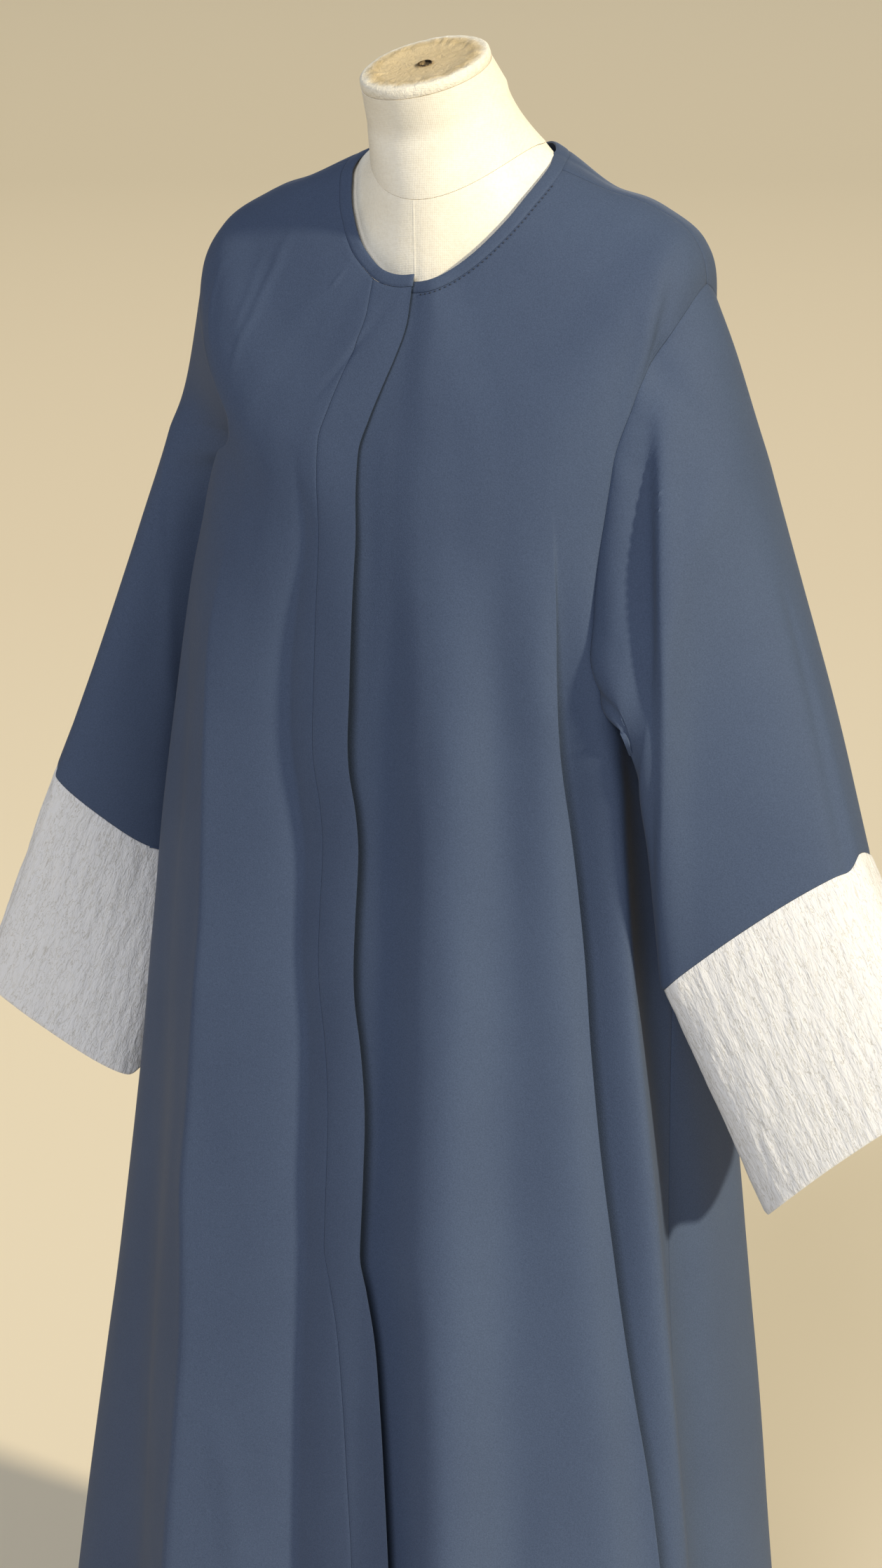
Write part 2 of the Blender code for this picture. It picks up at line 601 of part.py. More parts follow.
def make_form():
    angles = np.arange(36) * 10.0
    loops = [ring_point(FORM_RINGS, angles, 0.0)]
    loops += [form_shoulder(angles, level) for level in (0.0, 0.3, 0.65, 1.0, 1.5, 2.0, 2.4)]
    loops += [ring_point(FORM_RINGS, angles, level) for level in np.linspace(1, 8, 15)]
    loft("form_torso", loops, LINEN)
    foot = ring_point(FORM_RINGS, angles, 0.0) + np.array([0, 0, NECK_FOOT_GAP])
    top = [tilted_loop(*row, angles) for row in NECK]
    between = [neck_flare(foot, top[0], t) for t in NECK_SHARES]
    loft("form_neck", [top[1], top[0], *between[::-1], foot], LINEN)
    x, y, z, wide, deep, tilt = NECK[-1]
    k, lean = np.radians(CAP_TILT), np.radians(CAP_LEAN)
    up = np.array([-np.sin(lean), -np.sin(k), np.cos(k)])
    loops = []
    # The first two loops are the slot, a pocket in the middle of the cap's top.
    for wide_at, deep_at, lift in (
        (SLOT_HALF_WIDE, SLOT_HALF_DEEP, CAP_THICK - SLOT_DEEP),
        (SLOT_HALF_WIDE, SLOT_HALF_DEEP, CAP_THICK),
        (wide * 0.9, deep * 0.9, CAP_THICK),
        (wide * 0.98, deep * 0.98, CAP_THICK * 0.8),
        (wide, deep, CAP_THICK * 0.35),
        (wide * 0.99, deep * 0.99, 0.4),
    ):
        loops.append(tilted_loop(x, y, z, wide_at, deep_at, tilt, angles) + up * lift)
    loft("form_neck_cap", loops, LINEN)
    round_loop = np.stack([np.sin(np.radians(angles)), -np.cos(np.radians(angles)), angles * 0], -1)
    centre = np.array([0, 0.0, 0])
    pole = [centre + round_loop * POLE_RADIUS + np.array([0, 0, z]) for z in (769.6, BASE_THICK + 0.4)]
    loft("stand_pole", pole, METAL)
    base = []
    for radius, height in ((BASE_RADIUS - 5, BASE_THICK), (BASE_RADIUS, BASE_THICK - 5), (BASE_RADIUS, 0)):
        base.append(centre + round_loop * radius + np.array([0, 0, height]))
    loft("stand_base", base, METAL)


clear_scene()
bpy.context.scene.collection.children.link(bpy.data.collections.new(COLLECTION))
make_panels()
make_neck_binding()
make_sleeves()
make_form()
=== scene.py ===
"""An abaya cloak hanging on a limbless dress form that stands on a pole.

Tables are in millimetres and degrees, and the meshes in metres. +X is the wearer's left,
-Y the front, +Z up, and the stand's base is on the floor at Z = 0. Round the body an angle of
0 is the centre front, 90 the wearer's left and -90 the wearer's right. "level" numbers the
rings of the body cloth from the neckline, 0, to the hem, 14.
"""

import math

import bpy
import numpy as np
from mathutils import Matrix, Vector, noise


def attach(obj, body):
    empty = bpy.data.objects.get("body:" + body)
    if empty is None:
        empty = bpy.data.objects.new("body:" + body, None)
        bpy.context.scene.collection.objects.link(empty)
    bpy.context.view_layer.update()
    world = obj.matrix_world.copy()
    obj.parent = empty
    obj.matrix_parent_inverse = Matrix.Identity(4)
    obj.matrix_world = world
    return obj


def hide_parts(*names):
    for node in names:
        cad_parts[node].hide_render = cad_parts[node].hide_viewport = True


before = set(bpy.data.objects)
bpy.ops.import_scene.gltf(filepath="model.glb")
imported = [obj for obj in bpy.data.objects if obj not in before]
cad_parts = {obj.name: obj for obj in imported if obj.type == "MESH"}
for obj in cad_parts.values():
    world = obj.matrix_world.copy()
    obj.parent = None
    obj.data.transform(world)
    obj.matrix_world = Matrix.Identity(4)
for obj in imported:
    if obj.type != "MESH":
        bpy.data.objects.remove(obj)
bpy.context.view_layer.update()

bpy.ops.object.select_all(action="DESELECT")

MM = 0.001

# Thickness of the cloth walls, and how far each of two pieces ends from the seam between them.
CLOTH = 1.8
CUFF_CLOTH = 2.0
BINDING_CLOTH = 2.2
SEAM_HALF_GAP = 0.17
# How deep a border dips and over what width: seams, the placket's flat seam, the hem and a fold.
SEAM_DIP = (0.55, 1.6)
FLAT_SEAM_DIP = (0.35, 1.3)
HEM_DIP = (0.8, 1.2)
FOLD_DIP = (0.9, 1.1)
# The lapping front: how deep the layer under it lies at the neck and from the waist down, how far
# its free edge kicks out, and how high it ends above the under layer at the neck.
LAP_DROP = 3.4
LAP_DROP_LOW = 8.0
LAP_LIFT = 8.5
LAP_STEP = 6.5
UNDER_RISE_OVER = 10.0  # degrees beyond the free edge over which the under layer comes up
LAP_LIFT_OVER = 9.0  # degrees before it over which the lapping front kicks out
LAP_STEP_LEVELS = 1.4
PLACKET_WIDTH = 37.0
UNDERLAP = 34.0  # how far the left front goes on beneath the lapping front
BINDING_UNDERLAP = 20.0
# Behind the shoulders the cloth climbs the neck, draws in towards it, and dips one ring lower.
NECK_CLIMB = 17.0
NECK_DRAW_IN = 9.0
NECK_DIP = 6.0
NECK_CLIMB_LEVELS = 1.1
# Between the form's shoulders and the cloth on them, and how much more at its front and back.
FORM_GAP = 1.7
FORM_STANDS_CLEAR = 6.0
HEM_Z = 30.0
HEM_LEVEL = 14

# One row per ring of the body cloth, from the neckline to the hem. "level" numbers the rings,
# right and left are half widths, front and back are depths from the centre line at mid_y, and
# power is 2 for an ellipse and more for a ring with fuller corners.
RING_COLUMNS = ("level", "right", "left", "front", "back", "z_front", "z_side", "z_back", "mid_y", "power")
RINGS = (
    (0, 88, 88, 94, 60, 1357, 1450, 1434, 4, 2.0),
    (1, 130, 130, 108, 78, 1322, 1434, 1418, 4, 2.1),
    (2, 172, 172, 120, 92, 1280, 1414, 1392, 4, 2.2),
    (3, 207, 203, 129, 104, 1236, 1391, 1350, 3, 2.4),
    (4, 223, 214, 135, 112, 1198, 1352, 1306, 2, 2.35),
    (5, 210, 213, 139, 117, 1148, 1268, 1246, 1, 2.35),
    (6, 216, 205, 142, 120, 1096, 1182, 1172, 0, 2.45),
    (7, 232, 199, 145, 124, 1040, 1100, 1096, 0, 2.5),
    (8, 247, 199, 149, 131, 975, 1004, 1002, 0, 2.5),
    (9, 259, 203, 156, 141, 890, 900, 900, 0, 2.5),
    (10, 269, 212, 166, 156, 790, 792, 792, 0, 2.5),
    (11, 285, 228, 180, 180, 640, 640, 640, 0, 2.4),
    (12, 308, 244, 194, 204, 450, 450, 450, 0, 2.4),
    (13, 338, 260, 206, 226, 240, 240, 240, 0, 2.3),
    (14, 362, 275, 218, 246, 30, 30, 30, 0, 2.3),
)

# One row per fold of the body cloth: its angle where it starts, where it is full and at the hem,
# the heights where it starts and where it is full, how far it stands out (or in, if negative)
# there and at the hem, and its half width in degrees at the top and at the hem.
FOLD_COLUMNS = (
    "name", "angle_top", "angle_full", "angle_hem", "z_start", "z_full", "out", "out_hem", "wide", "wide_hem"
)
FOLDS = (
    ("right_side_hollow", -62, -58, -48, 1160, 960, -9, -24, 13, 13),
    ("right_side_ridge", -88, -85, -76, 1100, 860, 5, 16, 14, 14),
    ("right_back_hollow", -112, -110, -106, 1080, 800, -6, -18, 12, 13),
    ("left_front_swell", 10, 13, 15, 1200, 980, 9, 19, 7.5, 8.5),
    ("left_front_trough", 22, 27, 31, 1200, 1000, -4, -7, 7, 7),
    ("left_front_ridge", 30, 38, 56, 1200, 1010, 7, 12, 8, 8),
    ("left_outer_ridge", 46, 57, 70, 1170, 960, 16, 22, 7, 7),
    ("left_side_valley", 72, 75, 86, 1020, 780, -10, -24, 8, 9),
    ("left_back_ridge", 108, 110, 114, 900, 620, 8, 15, 12, 12),
    ("left_back_valley", 137, 137, 137, 1120, 800, -8, -20, 13, 12),
    ("back_left_ridge", 159, 159, 160, 1120, 800, 7, 20, 11, 11),
    ("back_valley", 180, 180, 181, 1060, 760, -7, -18, 11, 10),
    ("back_right_ridge", -158, -158, -159, 1120, 800, 7, 20, 11, 11),
    ("right_back_valley", -134, -134, -134, 1120, 800, -9, -20, 12, 11),
)

# Armhole on the body cloth: share of its depth, and how many degrees it cuts in from the side seam.
ARMHOLE_TOP_LEVEL = 3.92
ARMHOLE_FOOT_LEVEL = 7.9
SEAM_SWING = 15.0  # degrees that the side seams come forward on their way to the hem
SHOULDER_SWING = 9.0  # and the shoulder seams at the neck
SEAM_SWING_LEVELS = 4.5
SHOULDER_SWING_LEVELS = 2.6
ARMHOLE_COLUMNS = ("share", "front_left", "front_right", "back")
ARMHOLE = (
    (0.0, 0, 0, 0),
    (0.035, 12, 24, 8),
    (0.085, 28, 44, 14),
    (0.14, 33, 46, 17),
    (0.22, 37, 43, 21),
    (0.3, 38, 36, 24),
    (0.4, 38.5, 30, 26),
    (0.5, 39, 25, 28),
    (0.65, 39.5, 21, 30),
    (0.84, 38.5, 17, 30),
    (0.94, 30, 13, 22),
    (1.0, 0, 0, 0),
)

# Free edge of the lapping front: height against sideways place, wearer's left positive.
LAP_EDGE_COLUMNS = ("z", "x")
LAP_EDGE = (
    (1360, 3),
    (1330, 4),
    (1300, -3),
    (1280, -10),
    (1250, -20),
    (1225, -26),
    (1198, -25),
    (1150, -22),
    (1096, -22),
    (1040, -22),
    (975, -21),
    (940, -14),
    (905, -11),
    (850, -12),
    (790, -10),
    (750, -3),
    (700, 3),
    (640, 4),
    (580, 3),
    (550, 10),
    (520, 17),
    (450, 26),
    (380, 32),
    (300, 38),
    (30, 44),
)

# Sleeves, left one; the right one has its own rows. W is the outer, upper edge of the flattened
# tube and V its inner, lower edge; front and back are how far the cloth stands from their middle.
SLEEVE_COLUMNS = ("share", "wx", "wy", "wz", "vx", "vy", "vz", "front", "back")
SLEEVE_LEFT = (
    (0.0, 214, 2, 1352, 201, 0, 1012, 95, 80),
    (0.1, 232, -3, 1312, 213, -32, 1001, 90, 86),
    (0.25, 254, -8, 1243, 202, -70, 976, 74, 96),
    (0.5, 291, -15, 1136, 209, -81, 917, 52, 98),
    (0.75, 329, -21, 1029, 214, -80, 866, 45, 93),
    (1.0, 363, -26, 920, 218, -76, 812, 41, 84),
)
SLEEVE_RIGHT = (
    (0.0, -223, 2, 1352, -238, 0, 1012, 95, 80),
    (0.1, -234, 0, 1312, -246, 30, 1000, 68, 78),
    (0.25, -251, -3, 1246, -256, 44, 975, 54, 72),
    (0.5, -287, -8, 1142, -266, 43, 930, 48, 64),
    (0.75, -328, -14, 1030, -276, 41, 885, 47, 58),
    (1.0, -374, -20, 916, -285, 38, 836, 46, 52),
)
CUFF_LEFT = (
    (0.0, 363, -26, 920, 218, -76, 812, 41, 84),
    (0.5, 407, -31, 834, 261, -70, 721, 40, 72),
    (1.0, 450, -36, 747, 303, -62, 629, 38, 62),
)
CUFF_RIGHT = (
    (0.0, -374, -20, 916, -285, 38, 836, 46, 52),
    (0.5, -413, -24, 818, -292, 24, 735, 42, 47),
    (1.0, -451, -28, 720, -312, 4, 636, 39, 44),
)
SLEEVE_POINTS = 240  # round each loop
SLEEVE_FULLNESS = 0.9  # 1 makes a loop an ellipse, and less fills out its corners
SLEEVE_BLEND = 0.3  # share of the sleeve's length over which the armhole's shape dies away
SLEEVE_LENGTH = 440.0
CUFF_LENGTH = 194.0
SLEEVE_LEAN = 26.7  # degrees that the sleeves hang out from plumb
# Sleeve folds, one row each: how far out (or in, if negative) at the top and at the cuff seam,
# half width in degrees, share where it starts, and the places it runs through as (share, degrees
# round the tube), where 0 is the outer edge, 90 the front, 180 the inner edge and 270 the back.
SLEEVE_FOLD_COLUMNS = ("name", "out", "out_end", "wide", "start", "path")
SLEEVE_FOLDS = (
    ("outer_band", -2.5, -3, 9, 0.45, ((0.6, 8), (0.8, 16), (1, 22))),
    ("back_hollow", -10, -6, 22, 0.15, ((0, 238), (1, 242))),
)
RIGHT_SLEEVE_FOLDS = (
    (
        "front_crease", 1.5, 2.5, 20, 0.03,
        ((0.05, 30), (0.1, 44), (0.2, 72), (0.3, 94), (0.5, 120), (1, 152)),
    ),
)
# The loops sag from this share of the sleeve on: least near the middle of its front and back.
SAG_START = 0.62
SAG_LEAST = 1.5
CUFF_SAG = 6.5
SAG_MIDDLE = 77.0  # degrees round the tube
# The right sleeve drops back just behind the front of its armhole seam, below a height. The drop
# is whole a little way along the sleeve and dies away after it.
ARMHOLE_FALL = 18.0
FALL_TOWARDS = (0.25, 1.0, 0.0)  # backwards, and a little towards the body
FALL_TOP_Z = 1345.0
FALL_TOP_OVER = 45.0
FALL_OVER = 11.0
FALL_KEPT = 16.0
FALL_GONE_OVER = 120.0
# The left sleeve's plumb crease: the cloth stands out along it and falls back behind it, towards
# the body. Across is measured in plan along a line turned from +X towards the back.
RIDGE_TURN = 26.0
RIDGE_HALF_WIDTH = 16.0
RIDGE_FALL_OVER = 9.0
RIDGE_BACK_OVER = 34.0  # three quarters of the fall is made up over this further stretch
RIDGE_COLUMNS = ("z", "across", "out", "fall")
SLEEVE_RIDGE = (
    (1330, 153, 0, 0),
    (1270, 153.5, 2, 2),
    (1210, 153.5, 5, 10),
    (1120, 154, 6, 14),
    (1060, 155.5, 6, 11),
    (1010, 157, 6, 6),
    (934, 159, 6, 5),
    (824, 163, 4, 3),
    (720, 166, 1.5, 3),
    (630, 168, 0, 0),
)

# The form: rings like the cloth's. Level 0 is the seam at the foot of the neck.
FORM_RINGS = (
    (0, 69, 69, 88, 54, 1420, 1459, 1462, 4, 2.0),
    (1, 190, 188, 116, 92, 1226, 1384, 1344, 3, 2.4),
    (2, 190, 186, 120, 98, 1180, 1300, 1280, 2, 2.5),
    (3, 178, 176, 123, 102, 1130, 1215, 1210, 0, 2.5),
    (4, 160, 160, 112, 98, 1080, 1120, 1120, 0, 2.4),
    (5, 134, 134, 94, 86, 1010, 1020, 1020, 0, 2.2),
    (6, 150, 150, 100, 104, 930, 930, 930, 4, 2.2),
    (7, 172, 172, 112, 122, 830, 830, 830, 6, 2.2),
    (8, 174, 174, 112, 120, 770, 770, 770, 6, 2.2),
)
NECK_FOOT_GAP = 0.5  # between the neck and the torso, at their seam
NECK_FLARE = 1.45  # 1 narrows the neck's foot evenly, and more draws it in sooner
# The neck above its flare and under the cap: x, y and z of the middle, half width, half depth
# and tilt in degrees.
NECK = (
    (-3, -35, 1492, 56, 58, 24),
    (-5, -50, 1516, 51.5, 54, 20),
)
CAP_TILT = 20.0
CAP_LEAN = 5.0  # sideways, lower at the wearer's right
CAP_THICK = 9.0
# Places of the cap's rings of points, as shares of the way from its screw hole to its rim.
CAP_RINGS = (
    0.02, 0.06, 0.12, 0.2, 0.3, 0.4, 0.48, 0.56, 0.63, 0.69,
    0.74, 0.79, 0.83, 0.87, 0.9, 0.93, 0.955, 0.975, 0.99,
)
CAP_MIDDLE = (-5.6, -53.0, 1524.4)  # the mouth of the screw hole
HOLE_RADIUS = 5.5
HOLE_DEEP = 6.0
POLE_RADIUS = 16.0
POLE_TOP_Z = 769.4
BASE_RADIUS = 165.0
BASE_THICK = 16.0

# The lapping front's valley, a creased line: its angle, depth and reach in degrees by height.
CREASED_COLUMNS = ("z", "angle", "depth", "reach")
CREASE_ROUND = 0.5  # degrees over which the crease itself is rounded
LAP_VALLEY = (
    (1230, -19, 0, 5),
    (1157, -17.5, 5, 5),
    (1080, -18.5, 9, 5.5),
    (993, -17, 12, 6),
    (908, -12.5, 13, 6),
    (824, -11.5, 13, 6),
    (738, -9.5, 13.5, 6),
    (650, -9.5, 14, 6),
    (560, -8.5, 15, 6),
    (375, -8.5, 16, 6),
    (30, -9, 18, 6),
)
# The right front's crest, the same with a line that stands out.
RIGHT_CREST = (
    (1165, -43, 0, 9),
    (1067, -40, 8, 9),
    (981, -35, 12, 9),
    (896, -31.5, 14, 9),
    (809, -29.5, 16, 9),
    (626, -29.5, 19, 9),
    (537, -27.5, 20, 9),
    (445, -26, 21, 9),
    (278, -26.5, 23, 8.5),
    (30, -26, 24, 8),
)
# The sharp crest of the left front: beyond it the cloth drops at once and comes back by degrees.
CREST_COLUMNS = ("z", "angle", "drop", "back_over")
LEFT_CREST = (
    (1215, 34, 0, 12),
    (1173, 36, 0.5, 12),
    (1095, 39, 7, 11),
    (1011, 40.5, 15, 11),
    (927, 45, 21, 12),
    (842, 48, 24, 12),
    (756, 49, 25, 12),
    (670, 50.5, 25, 12),
    (582, 53, 25, 12),
    (489, 56, 25, 12),
    (400, 59, 25, 12),
    (240, 62, 25, 12),
    (30, 64, 24, 11),
)
CREST_DROP_OVER = 1.5  # degrees
CREST_GUESS = 36.0  # degrees, where the search for the crest's angle starts

# Creases and drag lines of the body cloth: how far out (a trough if negative), half width,
# and the places they run through as (angle, height).
MM_PER_DEGREE = 3.7  # round the chest, where most of them are
CREASES = (
    ("chest_drag_long", 1.7, 3.4, ((-59.5, 1394), (-51, 1361), (-44.5, 1322), (-41.5, 1277))),
    ("chest_drag_middle", 1.1, 3.0, ((-58.5, 1374), (-50, 1339), (-45, 1303))),
    ("chest_drag_outer", 1.0, 3.0, ((-66, 1366), (-59, 1330), (-51, 1290))),
    ("neck_drag", 0.8, 2.6, ((-32, 1364), (-31.5, 1346))),
    ("placket_drag", -1.3, 3.4, ((-6, 1343), (-11, 1319), (-13.5, 1305), (-16, 1283), (-18, 1262))),
    ("left_chest_ridge", 3.2, 10, ((76, 1390), (64, 1340), (58, 1285), (54.5, 1240))),
    ("left_chest_streak", -2.6, 7, ((76, 1378), (68, 1328), (65, 1300), (62, 1270))),
    ("left_shoulder_pucker", -0.9, 4, ((84, 1392), (76, 1366))),
    ("right_hem_drag", 1.4, 8, ((-20, 420), (-17, 330), (-15, 210))),
    ("left_side_drag", 1.6, 7, ((66, 520), (69, 400), (72, 300))),
    ("back_neck_drag", 1.2, 6, ((160, 1390), (168, 1330), (172, 1270))),
    ("back_shoulder_drag", 1.3, 6, ((118, 1380), (128, 1320), (134, 1250))),
    ("back_shoulder_drag_right", 1.3, 6, ((-120, 1380), (-130, 1325), (-137, 1260))),
)

# Colours of the real finishes, as sRGB.
CREPE_DARK = "#3E495D"
CREPE_LIGHT = "#4B576D"
CUFF_IVORY = "#DEDAD6"
LINEN_CREAM = "#F8EEDA"
LINEN_SHADE = "#F4E9D3"
LINEN_SOIL = "#ECE0C8"
THREAD_NAVY = "#222938"
THREAD_NAVY_DARK = "#1B212D"
STEEL_BROWN = "#4A4642"


def table_at(rows, names, column, at):
    """A smooth curve through one column of a table; the first column is the running one."""
    run = np.array([row[0] for row in rows], float)
    val = np.array([row[names.index(column)] for row in rows], float)
    if run[0] > run[-1]:
        run, val = run[::-1], val[::-1]
    at = np.clip(np.asarray(at, float), run[0], run[-1])
    slope = np.gradient(val, run)
    step = np.diff(val) / np.diff(run)
    for k in range(1, len(run) - 1):
        if step[k - 1] * step[k] <= 0:
            slope[k] = 0
    i = np.clip(np.searchsorted(run, at, side="right") - 1, 0, len(run) - 2)
    h = run[i + 1] - run[i]
    t = (at - run[i]) / h
    a = val[i] * (1 + 2 * t) * (1 - t) ** 2 + val[i + 1] * t * t * (3 - 2 * t)
    return a + h * (slope[i] * t * (1 - t) ** 2 - slope[i + 1] * t * t * (1 - t))


def ease(x):
    """A smooth step from 0 at x = 0 to 1 at x = 1, level at both ends and beyond them."""
    x = np.clip(x, 0, 1)
    return x * x * (3 - 2 * x)


def wrap(angle):
    """Degrees brought between -180 and 180."""
    return (np.asarray(angle, float) + 180) % 360 - 180


def unit(vectors):
    """The same vectors with a length of 1."""
    return vectors / np.maximum(np.linalg.norm(vectors, axis=-1, keepdims=True), 1e-6)


def run_along(grid, axis=0):
    """Length of each line of points, from its start to every one of its points."""
    steps = np.linalg.norm(np.diff(grid, axis=axis), axis=-1)
    first = np.take(steps, [0], axis=axis) * 0
    return np.concatenate([first, np.cumsum(steps, axis=axis)], axis=axis)


def ring_point(rows, angle, level):
    """Points of a ringed surface without folds."""
    a = np.radians(wrap(angle))
    col = {name: table_at(rows, RING_COLUMNS, name, level) for name in RING_COLUMNS[1:]}
    s, c = np.sin(a), np.cos(a)
    e = 2 / col["power"]
    sx = np.sign(s) * np.abs(s) ** e
    cy = np.sign(c) * np.abs(c) ** e
    side = np.where(s > 0, col["left"], col["right"])
    deep = np.where(c > 0, col["front"], col["back"])
    z_end = np.where(c > 0, col["z_front"], col["z_back"])
    z = col["z_side"] + (z_end - col["z_side"]) * np.abs(c) ** 1.7
    return np.stack([sx * side, col["mid_y"] - cy * deep, z], -1)


def fold_height(angle, z):
    """How far the folds move the body cloth outwards."""
    out = np.zeros(np.broadcast(angle, z).shape)
    for row in FOLDS:
        f = dict(zip(FOLD_COLUMNS, row))
        down = np.clip((f["z_start"] - z) / (f["z_start"] - HEM_Z), 0, 1)
        full = (f["z_start"] - f["z_full"]) / (f["z_start"] - HEM_Z)
        mid = np.interp(down, [0, full, 1], [f["angle_top"], f["angle_full"], f["angle_hem"]])
        wide = f["wide"] + (f["wide_hem"] - f["wide"]) * down
        rise = f["out"] * ease(down / full)
        rise = rise + (f["out_hem"] - f["out"]) * ease((down - full) / (1 - full))
        out = out + rise * np.exp(-((wrap(angle - mid) / wide) ** 2))
    out = out + creased_line(RIGHT_CREST, angle, z) - creased_line(LAP_VALLEY, angle, z)
    return out - crest_drop(angle, z)


def creased_line(rows, angle, z):
    """Height of a fold with a crease along its middle."""
    middle = table_at(rows, CREASED_COLUMNS, "angle", z)
    reach = table_at(rows, CREASED_COLUMNS, "reach", z)
    off = np.hypot(wrap(angle - middle), CREASE_ROUND) - CREASE_ROUND
    return table_at(rows, CREASED_COLUMNS, "depth", z) * np.exp(-off / reach)


def crest_drop(angle, z):
    """How far the cloth lies below the left front's crest, just beyond it."""
    beyond = wrap(angle - table_at(LEFT_CREST, CREST_COLUMNS, "angle", z))
    back = (beyond - CREST_DROP_OVER) / table_at(LEFT_CREST, CREST_COLUMNS, "back_over", z)
    return table_at(LEFT_CREST, CREST_COLUMNS, "drop", z) * ease(beyond / CREST_DROP_OVER) * (1 - ease(back))


def crest_angle(levels):
    """The crest's angle at each level, for the column of points that runs along it. Its table
    goes by height and a ring's height changes with the angle, so the angle is found in turns."""
    angle = levels * 0 + CREST_GUESS
    for again in range(3):
        z = ring_point(RINGS, angle, levels)[..., 2]
        angle = table_at(LEFT_CREST, CREST_COLUMNS, "angle", z)
    return angle


def crease_height(angle, z):
    """Drag lines: narrow ridges and troughs along short paths over the body cloth."""
    out = np.zeros(np.broadcast(angle, z).shape)
    for name, height, wide, path in CREASES:
        best = np.full(out.shape, 1e9)
        along = np.zeros(out.shape)
        steps = len(path) - 1
        for k in range(steps):
            (a0, z0), (a1, z1) = path[k], path[k + 1]
            step_a, step_z = (a1 - a0) * MM_PER_DEGREE, z1 - z0
            length = step_a * step_a + step_z * step_z
            t = np.clip((wrap(angle - a0) * MM_PER_DEGREE * step_a + (z - z0) * step_z) / length, 0, 1)
            off = np.hypot(wrap(angle - a0) * MM_PER_DEGREE - t * step_a, z - z0 - t * step_z)
            nearer = off < best
            best = np.where(nearer, off, best)
            along = np.where(nearer, (k + t) / steps, along)
        fade = np.sin(np.pi * np.clip(along, 0, 1)) ** 0.7
        out = out + height * fade * np.exp(-((best / wide) ** 2))
    return out


def cloth_waver(angle, z):
    """The small unevenness of hanging cloth, long down the drop and short across it."""
    shape = np.broadcast(angle, z).shape
    a = np.broadcast_to(wrap(angle), shape).ravel()
    h = np.broadcast_to(z, shape).ravel()
    turn = np.radians(a)
    out = np.empty(a.shape)
    for i in range(len(out)):
        x, y = math.sin(turn[i]), math.cos(turn[i])
        place = Vector((x * 3.4, y * 3.4, h[i] / 260))
        finer = Vector((x * 9.0, y * 9.0, h[i] / 90 + 7))
        out[i] = 1.3 * noise.noise(place) + 0.45 * noise.noise(finer)
    return out.reshape(shape)


def neck_climb(angle, level):
    """How far the cloth rises and draws in where it climbs the back of the neck."""
    turned = np.abs(wrap(angle))
    fade = 1 - ease(level / NECK_CLIMB_LEVELS)
    climbs, dips = ease((turned - 80) / 52), ease((turned - 72) / 25)
    draws_in = ease((turned - 70) / 28) * ease((176 - turned) / 55)
    dip = NECK_DIP * np.exp(-(((level - 1.0) / 0.5) ** 2)) * dips
    return NECK_CLIMB * climbs * fade - dip, NECK_DRAW_IN * draws_in * fade


def body_point(angle, level, lift=0.0):
    """Points of the body cloth's outer face, lifted outwards where asked."""
    p = ring_point(RINGS, angle, level)
    mid_y = table_at(RINGS, RING_COLUMNS, "mid_y", level) + p[..., 1] * 0
    ray = unit(p - np.stack([p[..., 0] * 0, mid_y, p[..., 2]], -1))
    extra = crease_height(angle, p[..., 2]) + cloth_waver(angle, p[..., 2])
    rise, inward = neck_climb(angle, level)
    folds = fold_height(angle, p[..., 2])
    p[..., 2] += rise
    return p + ray * (folds + extra + lift - inward)[..., None]


def body_normal(angle, level):
    """Unit normals of the body cloth, from points a small step away on each side."""
    turn, step = 0.6, 0.02
    above, below = np.clip(level - step, 0, HEM_LEVEL), np.clip(level + step, 0, HEM_LEVEL)
    across = body_point(angle + turn, level) - body_point(angle - turn, level)
    down = body_point(angle, below) - body_point(angle, above)
    return unit(np.cross(down, across))


def angle_at_x(level, x):
    """Front angle where the body cloth has this sideways place."""
    col = {name: table_at(RINGS, RING_COLUMNS, name, level) for name in ("left", "right", "power")}
    side = np.where(x > 0, col["left"], col["right"])
    return np.sign(x) * np.degrees(np.arcsin(np.clip(np.abs(x) / side, 0, 1) ** (col["power"] / 2)))


def lap_angle(level, inward=0.0):
    """Angle of the lapping front's free edge, moved towards the wearer's right by a width."""
    z = table_at(RINGS, RING_COLUMNS, "z_front", level)
    return angle_at_x(level, table_at(LAP_EDGE, LAP_EDGE_COLUMNS, "x", z) - inward)


def under_drop(angle, level):
    """The under layer lies deeper beneath the lapping front and comes up beside its edge."""
    beyond = wrap(angle - lap_angle(level))
    drop = LAP_DROP + (LAP_DROP_LOW - LAP_DROP) * ease((level - 1.0) / 6.0)
    return -drop * (1 - ease((beyond - 0.5) / UNDER_RISE_OVER))


def lap_lift(angle, level):
    """The lapping front kicks outwards along its free edge, more so from the waist down."""
    before = np.maximum(wrap(lap_angle(level) - angle), 0)
    return LAP_LIFT * ease((level - 1.5) / 6.0) * np.exp(-((before / LAP_LIFT_OVER) ** 1.25))


def lap_rise(points, angle, level):
    """At the neck the lapping front runs straight across and ends a step above the under layer."""
    stitch_x = table_at(LAP_EDGE, LAP_EDGE_COLUMNS, "x", points[..., 2]) - PLACKET_WIDTH
    beyond = points[..., 0] - stitch_x
    share = np.clip(beyond / PLACKET_WIDTH, 0, 1) * (np.abs(wrap(angle)) < 60)
    rise = LAP_STEP * share * (1 - ease(level / LAP_STEP_LEVELS))
    return points + rise[..., None] * np.array([0, 0, 1.0])


def armhole_level(share):
    """The level at a share of the armhole's depth."""
    return ARMHOLE_TOP_LEVEL + (ARMHOLE_FOOT_LEVEL - ARMHOLE_TOP_LEVEL) * share


def armhole_cut(share, column):
    """Degrees that the armhole cuts into one piece at a share of the armhole's depth."""
    return table_at(ARMHOLE, ARMHOLE_COLUMNS, column, share)


